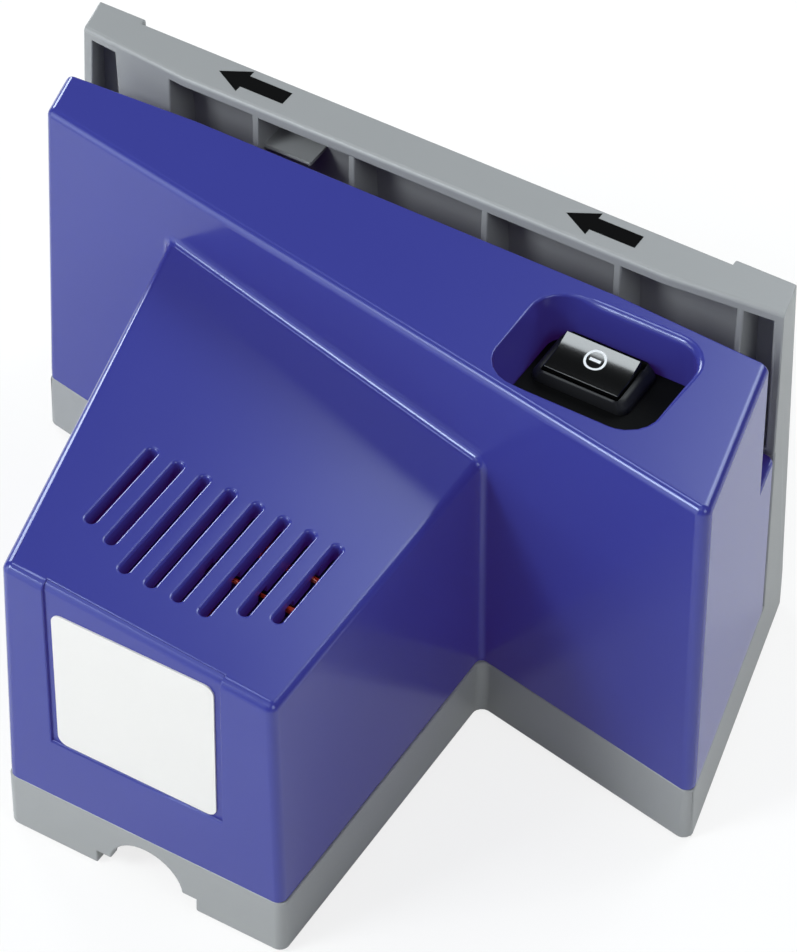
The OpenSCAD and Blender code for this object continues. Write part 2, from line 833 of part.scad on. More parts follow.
module switch_body() {
    inner_low = pivot_z - stem_len - 2 * switch_wall;
    lip = 2 * switch_wall;
    color("#2b2b2b")
        difference() {
            union() {
                block(switch_x, switch_y, switch_low, switch_body_w, switch_body_d, seal_z - switch_low);
                translate([switch_x, switch_y, seal_z])
                    hull() {
                        rounded_plate(collar_w, collar_d, edge_r, collar_h / 3);
                        translate([0, 0, collar_h - switch_plate])
                            rounded_plate(rocker_hole_w + lip, rocker_hole_d + lip / 2, edge_r, switch_plate);
                    }
            }
            block(switch_x, switch_y, inner_low, switch_inner_w, switch_inner_d, far);
            block(switch_x, switch_y, seal_z + switch_plate, rocker_hole_w, rocker_hole_d, far);
            translate([switch_x, switch_y, pivot_z])
                rotate([0, 90, 0])
                    cylinder(h = switch_body_w - switch_wall / 2, d = pivot_d + 2 * run_fit, center = true);
        }
}

module switch_rocker() {
    half_d = rocker_d / 2;
    color("#0d0d0d")
        translate([switch_x, switch_y, pivot_z])
            rotate([rocker_tilt, 0, 0]) {
                along_x(rocker_w / 2, [[-half_d, rocker_low], [half_d, rocker_low], [half_d, rocker_edge],
                                       [0, rocker_edge - rocker_dish], [-half_d, rocker_edge]]);
                block(0, 0, -stem_len, switch_inner_w - 2 * free_gap, stem_d, rocker_low + stem_len);
                rotate([0, 90, 0]) cylinder(h = switch_body_w - switch_wall, d = pivot_d, center = true);
            }
}

module switch_terminals() {
    color("#c9a24a")
        for (side = [-1, 1])
            block(switch_x + side * terminal_gap / 2, switch_y, switch_low - terminal_len,
                  terminal_t, terminal_w, terminal_len);
}

// Power inlet

module inlet_body() {
    color("#1c1c1c")
        difference() {
            union() {
                rod_y(motor_x, panel_y - inlet_front, inlet_z, inlet_d, inlet_front + panel_t);
                rod_y(motor_x, panel_y + panel_t, inlet_z, inlet_body_d, inlet_body_len);
            }
            rod_y(motor_x, panel_y - inlet_front - cut, inlet_z, inlet_bore, inlet_bore_len + cut);
        }
}

module inlet_pin() {
    length = inlet_bore_len - cut;
    color("#c8c8c8")
        rod_y(motor_x, panel_y - inlet_front + inlet_bore_len - length, inlet_z, pin_d, length);
}

module inlet_nut() {
    color("#b9bcc0")
        difference() {
            translate([motor_x, panel_y - inlet_nut_t, inlet_z])
                rotate([-90, 0, 0]) cylinder(h = inlet_nut_t, d = inlet_nut_d, $fn = hex_fn);
            rod_y(motor_x, panel_y - inlet_nut_t - cut, inlet_z, inlet_d + 2 * drill_fit,
                  inlet_nut_t + 2 * cut);
        }
}

module inlet_tags() {
    color("#c9a24a")
        for (side = [-1, 1])
            block(motor_x + side * tag_gap / 2, inlet_back_y + tag_len / 2, inlet_z - tag_w / 2,
                  tag_t, tag_len, tag_w);
}

// Motor

module motor_bracket() {
    hole = 2 * drill_fit;
    color("#a7abaf")
        difference() {
            union() {
                block(motor_x, bracket_y + bracket_t / 2, bracket_foot_z, 2 * bracket_half, bracket_t,
                      bracket_top - bracket_foot_z);
                block(motor_x, bracket_y + bracket_t - bracket_foot / 2, bracket_foot_z, 2 * bracket_half,
                      bracket_foot, bracket_t);
            }
            rod_y(motor_x, bracket_y - cut, axis_z, boss_d + hole, bracket_t + 2 * cut);
            for (side = [-1, 1]) {
                rod_y(motor_x + side * motor_screw_pitch / 2, bracket_y - cut, axis_z, motor_screw_d + hole,
                      bracket_t + 2 * cut);
                translate([motor_x + side * bracket_screw_x, bracket_screw_y, bracket_foot_z - cut])
                    cylinder(h = bracket_t + 2 * cut, d = screw_d + hole);
            }
        }
}

module bracket_screws() {
    seat = bracket_foot_z + bracket_t;
    color("#8d9094")
        for (side = [-1, 1])
            translate([motor_x + side * bracket_screw_x, bracket_screw_y, seat + screw_head_h])
                rotate([180, 0, 0])
                    pan_screw(screw_d, screw_head_d, screw_head_h, bracket_screw_len + bracket_t - cut,
                              screw_d);
}

module motor_screws() {
    color("#8d9094")
        for (side = [-1, 1])
            translate([motor_x + side * motor_screw_pitch / 2, bracket_y + bracket_t + screw_head_h, axis_z])
                rotate([90, 0, 0])
                    pan_screw(motor_screw_d, motor_screw_head, screw_head_h, motor_screw_len, motor_screw_d);
}

module motor_can() {
    color("#b4b7ba")
        difference() {
            union() {
                rod_y(motor_x, can_back_y, axis_z, can_d, can_len);
                rod_y(motor_x, motor_face_y, axis_z, boss_d, boss_len);
            }
            rod_y(motor_x, can_back_y - cut, axis_z, can_inner, can_len - can_wall + cut);
            rod_y(motor_x, front_bush_y - cut, axis_z, bush_d + 2 * drill_fit, bush_len + 2 * cut);
            for (side = [-1, 1])
                rod_y(motor_x + side * motor_screw_pitch / 2, motor_face_y - 2 * can_wall, axis_z,
                      motor_screw_d + 2 * drill_fit, 3 * can_wall);
        }
}

module motor_end_cap() {
    color("#23262b")
        difference() {
            union() {
                rod_y(motor_x, cap_back_y, axis_z, can_d, cap_flange);
                rod_y(motor_x, can_back_y, axis_z, can_inner - 2 * drill_fit, cap_depth);
            }
            rod_y(motor_x, rear_bush_y + bush_len, axis_z, cap_inner, far / 2);
            rod_y(motor_x, rear_bush_y, axis_z, bush_d + 2 * drill_fit, far / 2);
        }
}

module front_bush() {
    color("#b88a4a")
        ring_y(motor_x, front_bush_y, axis_z, bush_d, shaft_d + 2 * run_fit, bush_len);
}

module rear_bush() {
    color("#b88a4a")
        ring_y(motor_x, rear_bush_y, axis_z, bush_d, shaft_d + 2 * run_fit, bush_len);
}

module motor_magnets() {
    color("#4a4a4e")
        difference() {
            ring_y(motor_x, core_y - (magnet_len - core_len) / 2, axis_z, can_inner - 2 * drill_fit,
                   core_d + 2 * magnet_gap, magnet_len);
            block(motor_x, core_y + core_len / 2, axis_z - magnet_space / 2, far, far, magnet_space);
        }
}

module motor_brushes() {
    reach = sqrt(pow(cap_inner / 2, 2) - pow(brush_w / 2, 2)) - drill_fit;
    gap = commutator_d / 2 + 2 * run_fit;
    color("#3a3a3a")
        for (side = [-1, 1])
            block(motor_x, commutator_y + commutator_len / 2, axis_z + (side > 0 ? gap : -reach),
                  brush_w, brush_len, reach - gap);
}

module motor_terminals() {
    color("#c9a24a")
        for (side = [-1, 1])
            block(motor_x, cap_back_y - blade_len / 2, axis_z + side * blade_off - terminal_t / 2,
                  terminal_w, blade_len, terminal_t);
}

// Rotor: shaft, armature and cutter

module motor_shaft() {
    back = rear_bush_y + run_fit;
    color("#d0d2d4") rod_y(motor_x, back, axis_z, shaft_d, shaft_front_y - back);
}

module armature_core() {
    slots = 5;
    color("#7d7f83")
        difference() {
            ring_y(motor_x, core_y, axis_z, core_d, shaft_d + 2 * drill_fit, core_len);
            for (i = [0 : slots - 1])
                translate([motor_x, core_y - cut, axis_z])
                    rotate([0, i * 360 / slots, 0])
                        translate([-gullet_d / 2, 0, core_d / 4]) cube([gullet_d, core_len + 2 * cut, core_d]);
        }
}

module armature_winding() {
    color("#b5652b") {
        ring_y(motor_x, core_y + core_len, axis_z, coil_d, bush_d, coil_front);
        ring_y(motor_x, core_y - coil_rear, axis_z, coil_d, bush_d, coil_rear);
    }
}

module commutator() {
    color("#c77b3a")
        ring_y(motor_x, commutator_y, axis_z, commutator_d, shaft_d + 2 * drill_fit, commutator_len);
}

module cutter_hub() {
    start = cutter_front_y - hub_len;
    color("#8f9296")
        difference() {
            union() {
                rod_y(motor_x, start, axis_z, hub_d, hub_len);
                rod_y(motor_x, cutter_front_y, axis_z, arbor_d, cutter_w - nut_t);
            }
            rod_y(motor_x, start - cut, axis_z, shaft_d + 2 * drill_fit, far / 2);
            translate([motor_x, start + hub_len / 2, axis_z])
                cylinder(h = hub_d, d = motor_screw_d + 2 * drill_fit);
        }
}

module hub_screw() {
    start = cutter_front_y - hub_len / 2;
    seat = shaft_d / 2 + drill_fit;
    length = hub_d / 2 - seat - motor_screw_d / 4;
    color("#3c3d40")
        difference() {
            translate([motor_x, start, axis_z + seat]) cylinder(h = length, d = motor_screw_d);
            translate([motor_x, start, axis_z + seat + length / 2])
                cylinder(h = length, d = motor_screw_d / 2, $fn = hex_fn);
        }
}

// Cutter wheel with a tooth before each gullet and a seat for its nut
module cutter() {
    color("#c4c7ca")
        difference() {
            rod_y(motor_x, cutter_front_y, axis_z, cutter_d, cutter_w);
            rod_y(motor_x, cutter_front_y - cut, axis_z, arbor_d + 2 * drill_fit, cutter_w + 2 * cut);
            rod_y(motor_x, cutter_w / 2 - nut_t, axis_z, nut_d + 2 * drill_fit, nut_t + cut);
            for (i = [0 : cutter_teeth - 1])
                translate([motor_x, cutter_front_y - cut, axis_z])
                    rotate([0, i * 360 / cutter_teeth, 0])
                        translate([0, 0, cutter_d / 2]) rotate([-90, 0, 0])
                            cylinder(h = cutter_w + 2 * cut, d = gullet_d);
        }
}

module cutter_nut() {
    color("#6f7276")
        ring_y(motor_x, cutter_w / 2 - nut_t, axis_z, nut_d, shaft_d + 2 * drill_fit, nut_t);
}

// Leads

// Direction of a route at one of its points, half way between the runs that meet there
function route_dir(route, i) =
    let (a = route[max(i - 1, 0)], b = route[i], c = route[min(i + 1, len(route) - 1)])
    let (u = a == b ? [0, 0, 0] : (b - a) / norm(b - a), v = b == c ? [0, 0, 0] : (c - b) / norm(c - b))
    (u + v) / norm(u + v);

// Ring of points round a route, square to its direction there
function lead_ring(route, i) =
    let (d = route_dir(route, i), side = cross(d, lead_ref), u = side / norm(side), v = cross(d, u))
    [for (k = [0 : lead_sides - 1])
        let (t = k * 360 / lead_sides) route[i] + lead_d / 2 * (u * cos(t) + v * sin(t))];

// Round lead swept along a route
module lead(route) {
    n = lead_sides;
    last = len(route) - 1;
    points = [for (i = [0 : last]) each lead_ring(route, i)];
    ends = [[for (k = [0 : n - 1]) k], [for (k = [0 : n - 1]) last * n + n - 1 - k]];
    sides = [for (i = [0 : last - 1], k = [0 : n - 1])
        each let (a = i * n + k, b = i * n + (k + 1) % n) [[a, a + n, b + n], [a, b + n, b]]];
    polyhedron(points, concat(ends, sides));
}

module supply_lead() {
    start = [motor_x + tag_gap / 2, inlet_tip[0], inlet_tip[1]];
    finish = [switch_x - terminal_gap / 2, switch_y, switch_tip_z];
    color("#c2321e")
        lead([start, start + [0, lead_start, 0], each supply_route, finish - [0, 0, lead_start], finish]);
}

module switch_lead() {
    start = [switch_x + terminal_gap / 2, switch_y, switch_tip_z];
    finish = [motor_x, motor_tip_y, axis_z + blade_off];
    color("#c2321e")
        lead([start, start - [0, 0, lead_start], each switch_route, finish - [0, lead_start, 0], finish]);
}

module return_lead() {
    start = [motor_x, motor_tip_y, axis_z - blade_off];
    finish = [motor_x - tag_gap / 2, inlet_tip[0], inlet_tip[1]];
    color("#1a1a1a")
        lead([start, start - [0, lead_start, 0], each return_route, finish + [0, lead_start, 0], finish]);
}

upper_housing();
base_fence();
rating_label();
switch_seal();
switch_body();
switch_rocker();
switch_terminals();
inlet_body();
inlet_pin();
inlet_nut();
inlet_tags();
motor_bracket();
motor_can();
motor_end_cap();
motor_magnets();
motor_brushes();
motor_terminals();
front_bush();
rear_bush();
motor_shaft();
armature_core();
armature_winding();
commutator();
cutter_hub();
cutter();
hub_screw();
cutter_nut();
housing_screws();
bracket_screws();
motor_screws();
rubber_feet();
supply_lead();
switch_lead();
return_lead();
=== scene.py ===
"""Looks of a bench-top electric scraper sharpener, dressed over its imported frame."""
import logging
import math
from collections.abc import Callable, Sequence
from dataclasses import dataclass, field
from enum import Enum

import bmesh
import bpy
from mathutils import Matrix, Vector
from mathutils.bvhtree import BVHTree


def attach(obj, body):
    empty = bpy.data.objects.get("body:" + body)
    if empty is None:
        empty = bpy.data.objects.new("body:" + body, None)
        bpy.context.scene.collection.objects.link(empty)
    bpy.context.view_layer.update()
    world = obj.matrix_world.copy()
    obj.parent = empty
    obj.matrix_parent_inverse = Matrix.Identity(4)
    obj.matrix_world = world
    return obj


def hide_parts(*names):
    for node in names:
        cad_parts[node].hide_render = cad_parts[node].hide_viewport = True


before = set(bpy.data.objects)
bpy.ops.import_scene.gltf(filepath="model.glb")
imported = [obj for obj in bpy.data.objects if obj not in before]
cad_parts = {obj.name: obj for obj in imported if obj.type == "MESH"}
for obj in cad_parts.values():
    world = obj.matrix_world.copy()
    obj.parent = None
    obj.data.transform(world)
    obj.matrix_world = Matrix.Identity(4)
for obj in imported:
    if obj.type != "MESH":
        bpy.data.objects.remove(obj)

LOG = logging.getLogger("scraper_sharpener")
MM = 0.001
MOTTLE_SCALE = 28.0
FINE_DETAIL = 3.0
MOTTLE_DETAIL = 2.0
COAT_ROUGHNESS = 0.08
STRONGEST_WEIGHT = 100
SENSOR_WIDTH = 36.0
BODY = "body"
ROCKER = "rocker"

Color = tuple[float, float, float]
Point = tuple[float, float, float]


def rgb(red: int, green: int, blue: int) -> Color:
    """Turn a display colour of 0 to 255 into linear light.

    Args:
        red: Red share.
        green: Green share.
        blue: Blue share.

    Returns:
        The colour in linear light.
    """
    shares = (red / 255, green / 255, blue / 255)
    return tuple(s / 12.92 if s <= 0.04045 else ((s + 0.055) / 1.055) ** 2.4 for s in shares)


def mm(x: float, y: float, z: float) -> Vector:
    """Turn a point in millimetres into metres."""
    return Vector((x, y, z)) * MM


class Grain(Enum):
    """Surface textures that the finishes use, as sizes of one bump pattern in millimetres."""

    POLISHED = 2.6
    SATIN = 0.55
    MATT = 0.35


def grain_group() -> bpy.types.NodeTree:
    """Build the shared texture of moulded and machined surfaces once.

    Returns:
        A group that puts out a varied colour, a varied roughness and a bump height.
    """
    name = "surface_grain"
    if name in bpy.data.node_groups:
        return bpy.data.node_groups[name]
    tree = bpy.data.node_groups.new(name, "ShaderNodeTree")
    sockets = (("Color", "NodeSocketColor", (0.5, 0.5, 0.5, 1)), ("Roughness", "NodeSocketFloat", 0.4),
               ("Grain Size", "NodeSocketFloat", 0.001), ("Mottle", "NodeSocketFloat", 0.05))
    for label, kind, value in sockets:
        tree.interface.new_socket(label, in_out="INPUT", socket_type=kind).default_value = value
    results = (("Color", "NodeSocketColor"), ("Roughness", "NodeSocketFloat"), ("Height", "NodeSocketFloat"))
    for label, kind in results:
        tree.interface.new_socket(label, in_out="OUTPUT", socket_type=kind)
    nodes, links = tree.nodes, tree.links
    given = nodes.new("NodeGroupInput")
    result = nodes.new("NodeGroupOutput")
    place = nodes.new("ShaderNodeTexCoord")
    scale = nodes.new("ShaderNodeMath")
    scale.operation = "DIVIDE"
    scale.inputs[0].default_value = 1.0
    links.new(given.outputs["Grain Size"], scale.inputs[1])
    fine = nodes.new("ShaderNodeTexNoise")
    fine.inputs["Detail"].default_value = FINE_DETAIL
    links.new(place.outputs["Object"], fine.inputs["Vector"])
    links.new(scale.outputs[0], fine.inputs["Scale"])
    broad = nodes.new("ShaderNodeTexNoise")
    broad.inputs["Scale"].default_value = MOTTLE_SCALE
    broad.inputs["Detail"].default_value = MOTTLE_DETAIL
    links.new(place.outputs["Object"], broad.inputs["Vector"])
    spread = nodes.new("ShaderNodeMapRange")
    spread.inputs["To Min"].default_value = -1.0
    links.new(broad.outputs["Fac"], spread.inputs["Value"])
    tint = nodes.new("ShaderNodeMath")
    tint.operation = "MULTIPLY_ADD"
    tint.inputs[2].default_value = 1.0
    links.new(spread.outputs["Result"], tint.inputs[0])
    links.new(given.outputs["Mottle"], tint.inputs[1])
    shade = nodes.new("ShaderNodeHueSaturation")
    links.new(given.outputs["Color"], shade.inputs["Color"])
    links.new(tint.outputs[0], shade.inputs["Value"])
    rough = nodes.new("ShaderNodeMath")
    rough.operation = "MULTIPLY"
    links.new(given.outputs["Roughness"], rough.inputs[0])
    links.new(tint.outputs[0], rough.inputs[1])
    links.new(shade.outputs["Color"], result.inputs["Color"])
    links.new(rough.outputs[0], result.inputs["Roughness"])
    links.new(fine.outputs["Fac"], result.inputs["Height"])
    return tree


@dataclass(frozen=True)
class Finish:
    """A surface finish and the material made from it.

    Attributes:
        name: Name of the material.
        color: Base colour in linear light.
        roughness: Middle roughness.
        grain: Size of the bump pattern.
        bump: Depth of the bump pattern in millimetres.
        mottle: Share by which colour and roughness vary.
        metallic: Metal share.
        coat: Weight of the clear gloss layer.
        specular: Strength of the plain reflection.
        sheen_tint: Colour of the plain reflection.
        shade: Colour of a painted glow, light that the surface emits itself and that lifts its deepest
            shades.
    """

    name: str
    color: Color
    roughness: float
    grain: Grain = Grain.SATIN
    bump: float = 0.01
    mottle: float = 0.04
    metallic: float = 0.0
    coat: float = 0.0
    specular: float = 0.5
    sheen_tint: Color = (1.0, 1.0, 1.0)
    shade: Color = (0.0, 0.0, 0.0)

    def material(self) -> bpy.types.Material:
        """Build the material, or return the one built before.

        Returns:
            The material with its node tree.
        """
        if self.name in bpy.data.materials:
            return bpy.data.materials[self.name]
        made = bpy.data.materials.new(self.name)
        made.use_nodes = True
        nodes, links = made.node_tree.nodes, made.node_tree.links
        shader = nodes["Principled BSDF"]
        shader.inputs["Metallic"].default_value = self.metallic
        shader.inputs["Coat Weight"].default_value = self.coat
        shader.inputs["Coat Roughness"].default_value = COAT_ROUGHNESS
        shader.inputs["Specular IOR Level"].default_value = self.specular
        shader.inputs["Specular Tint"].default_value = (*self.sheen_tint, 1.0)
        # Painted glow: the shade colour is emitted, so the surface lightens its own shades although it is no
        # lamp.
        shader.inputs["Emission Color"].default_value = (*self.shade, 1.0)
        shader.inputs["Emission Strength"].default_value = 1.0 if any(self.shade) else 0.0
        grain = nodes.new("ShaderNodeGroup")
        grain.node_tree = grain_group()
        grain.inputs["Color"].default_value = (*self.color, 1.0)
        grain.inputs["Roughness"].default_value = self.roughness
        grain.inputs["Grain Size"].default_value = self.grain.value * MM
        grain.inputs["Mottle"].default_value = self.mottle
        bump = nodes.new("ShaderNodeBump")
        bump.inputs["Distance"].default_value = self.bump * MM
        links.new(grain.outputs["Color"], shader.inputs["Base Color"])
        links.new(grain.outputs["Roughness"], shader.inputs["Roughness"])
        links.new(grain.outputs["Height"], bump.inputs["Height"])
        links.new(bump.outputs["Normal"], shader.inputs["Normal"])
        made.diffuse_color = (*self.color, 1.0)
        return made


# The blue's shade is a painted glow: a faint violet emission that lifts its darkest shades.
BLUE = Finish("blue_moulding", rgb(46, 56, 130), 0.2, Grain.SATIN, 0.003, 0.03, specular=0.54,
              sheen_tint=(0.72, 0.8, 1.0), shade=rgb(27, 4, 46))
GREY = Finish("grey_moulding", rgb(146, 146, 146), 0.36, Grain.MATT, 0.005, 0.03)
FILM = Finish("pale_film", rgb(220, 215, 211), 0.35, Grain.POLISHED, 0.004, 0.02)
PRINT = Finish("black_print", rgb(3, 3, 3), 0.6, Grain.MATT, 0.002, 0.05, specular=0.04)
SYMBOL = Finish("white_print", rgb(235, 235, 235), 0.4, Grain.MATT, 0.002, 0.03)
SEAL = Finish("seal_rubber", rgb(5, 5, 5), 0.7, Grain.MATT, 0.01, 0.08, specular=0.1)
RUBBER = Finish("foot_rubber", rgb(22, 22, 22), 0.8, Grain.MATT, 0.02, 0.08)
COLLAR = Finish("collar_black", rgb(30, 30, 30), 0.5, Grain.MATT, 0.01, 0.05, specular=0.35)
ROCKER_BLACK = Finish("rocker_black", rgb(12, 12, 12), 0.12, Grain.POLISHED, 0.002, 0.03, coat=0.6)
BRASS = Finish("plain_brass", rgb(205, 172, 98), 0.3, Grain.SATIN, 0.004, 0.06, metallic=1.0)
STEEL = Finish("plated_steel", rgb(186, 188, 190), 0.34, Grain.SATIN, 0.006, 0.06, metallic=1.0)
TOOL_STEEL = Finish("ground_steel", rgb(206, 208, 210), 0.24, Grain.SATIN, 0.004, 0.05, metallic=1.0)
MAGNET = Finish("sintered_magnet", rgb(72, 72, 75), 0.7, Grain.MATT, 0.02, 0.06)
COPPER = Finish("copper_wire", rgb(196, 118, 66), 0.35, Grain.SATIN, 0.02, 0.1, metallic=1.0)
CARBON = Finish("pressed_carbon", rgb(42, 42, 42), 0.7, Grain.MATT, 0.02, 0.06)
MOTOR_BLACK = Finish("motor_black", rgb(38, 40, 45), 0.55, Grain.MATT, 0.01, 0.05)
BRONZE = Finish("sintered_bronze", rgb(176, 136, 84), 0.45, Grain.SATIN, 0.01, 0.07, metallic=1.0)
RED_LEAD = Finish("red_insulation", rgb(214, 66, 30), 0.45, Grain.SATIN, 0.006, 0.05)
BLACK_LEAD = Finish("black_insulation", rgb(26, 26, 26), 0.5, Grain.SATIN, 0.006, 0.05)


def dress(node: str, finish: Finish) -> None:
    """Give a CAD node its finish, with its mesh left alone.

    Args:
        node: Name of the CAD node.
        finish: Finish of its whole surface.
    """
    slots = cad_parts[node].data.materials
    slots.clear()
    slots.append(finish.material())
    LOG.info("dressed %s", node)


def add_piece(name: str, mesh: bpy.types.Mesh, finish: Finish, body: str,
              stands_for: Sequence[str] = ()) -> bpy.types.Object:
    """Put a finished mesh into the scene, on its body.

    Args:
        name: Name of the piece.
        mesh: Mesh with its place in its vertices.
        finish: Finish, for a mesh that has no material yet.
        body: CAD body that the piece rides on.
        stands_for: CAD nodes that the piece replaces.

    Returns:
        The new object.
    """
    mesh.name = name
    if not mesh.materials:
        mesh.materials.append(finish.material())
    piece = bpy.data.objects.new(name, mesh)
    bpy.context.scene.collection.objects.link(piece)
    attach(piece, body)
    if stands_for:
        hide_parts(*stands_for)
    LOG.info("built %s with %d faces", name, len(mesh.polygons))
    return piece


def placing_tree() -> bpy.types.NodeTree:
    """Build the node tree that sets one piece on every point of a mesh.

    Returns:
        A geometry tree with the inputs Piece, Material, Turn and Seed.
    """
    name = "piece_on_points"
    if name in bpy.data.node_groups:
        return bpy.data.node_groups[name]
    tree = bpy.data.node_groups.new(name, "GeometryNodeTree")
    sockets = (("Geometry", "NodeSocketGeometry"), ("Piece", "NodeSocketObject"),
               ("Material", "NodeSocketMaterial"), ("Turn", "NodeSocketFloat"), ("Seed", "NodeSocketInt"))
    for label, kind in sockets:
        tree.interface.new_socket(label, in_out="INPUT", socket_type=kind)
    tree.interface.new_socket("Geometry", in_out="OUTPUT", socket_type="NodeSocketGeometry")
    nodes, links = tree.nodes, tree.links
    given = nodes.new("NodeGroupInput")
    result = nodes.new("NodeGroupOutput")
    piece = nodes.new("GeometryNodeObjectInfo")
    links.new(given.outputs["Piece"], piece.inputs["Object"])
    most = nodes.new("ShaderNodeCombineXYZ")
    links.new(given.outputs["Turn"], most.inputs["Z"])
    chance = nodes.new("FunctionNodeRandomValue")
    chance.data_type = "FLOAT_VECTOR"
    chance.inputs["Min"].default_value = (0.0, 0.0, 0.0)
    links.new(most.outputs["Vector"], chance.inputs["Max"])
    links.new(given.outputs["Seed"], chance.inputs["Seed"])
    turn = nodes.new("FunctionNodeEulerToRotation")
    links.new(chance.outputs["Value"], turn.inputs["Euler"])
    placed = nodes.new("GeometryNodeInstanceOnPoints")
    links.new(given.outputs["Geometry"], placed.inputs["Points"])
    links.new(piece.outputs["Geometry"], placed.inputs["Instance"])
    links.new(turn.outputs["Rotation"], placed.inputs["Rotation"])
    real = nodes.new("GeometryNodeRealizeInstances")
    links.new(placed.outputs["Instances"], real.inputs["Geometry"])
    coat = nodes.new("GeometryNodeSetMaterial")
    links.new(real.outputs["Geometry"], coat.inputs["Geometry"])
    links.new(given.outputs["Material"], coat.inputs["Material"])
    links.new(coat.outputs["Geometry"], result.inputs["Geometry"])
    return tree


@dataclass
class Pattern:
    """Piece that repeats at a set of places.

    Attributes:
        piece: Mesh of one piece, about its own origin.
        places: Where the pieces stand, in metres.
        finish: Finish of every piece.
        turn_deg: Largest turn of a piece about its own upright axis.
        seed: Seed of the turns.
    """

    piece: bpy.types.Mesh
    places: Sequence[Vector]
    finish: Finish
    turn_deg: float = 0.0
    seed: int = 7

    def mesh(self) -> bpy.types.Mesh:
        """Set the pieces in place by the node tree.

        Returns:
            All pieces as one mesh.
        """
        points = bpy.data.meshes.new("places")
        points.from_pydata([tuple(p) for p in self.places], [], [])
        holder = bpy.data.objects.new("places", points)
        sample = bpy.data.objects.new("sample", self.piece)
        for thing in (holder, sample):
            bpy.context.scene.collection.objects.link(thing)
        tree = placing_tree()
        modifier = holder.modifiers.new("repeat", "NODES")
        modifier.node_group = tree
        values = {"Piece": sample, "Material": self.finish.material(), "Turn": math.radians(self.turn_deg),
                  "Seed": self.seed}
        for socket in tree.interface.items_tree:
            if socket.in_out == "INPUT" and socket.name in values:
                modifier[socket.identifier] = values[socket.name]
        made = flattened(holder)
        bpy.data.objects.remove(sample)
        bpy.data.meshes.remove(self.piece)
        return made


def prism(outline: Sequence[tuple[float, float]], low: float, high: float) -> bpy.types.Mesh:
    """Build an upright prism from its plan.

    Args:
        outline: Corners of the plan in millimetres, anticlockwise.
        low: Height of its underside.
        high: Height of its top.

    Returns:
        The closed mesh, in metres.
    """
    shape = bmesh.new()
    rings = [[shape.verts.new(mm(x, y, z)) for x, y in outline] for z in (low, high)]
    shape.faces.new(rings[0][::-1])
    shape.faces.new(rings[1])
    for i in range(len(outline)):
        j = (i + 1) % len(outline)
        shape.faces.new((rings[0][i], rings[0][j], rings[1][j], rings[1][i]))
    made = bpy.data.meshes.new("prism")
    shape.to_mesh(made)
    shape.free()
    return made


EdgeRule = Callable[[Vector, bmesh.types.BMEdge], bool]
EdgeShare = Callable[[Vector], float]


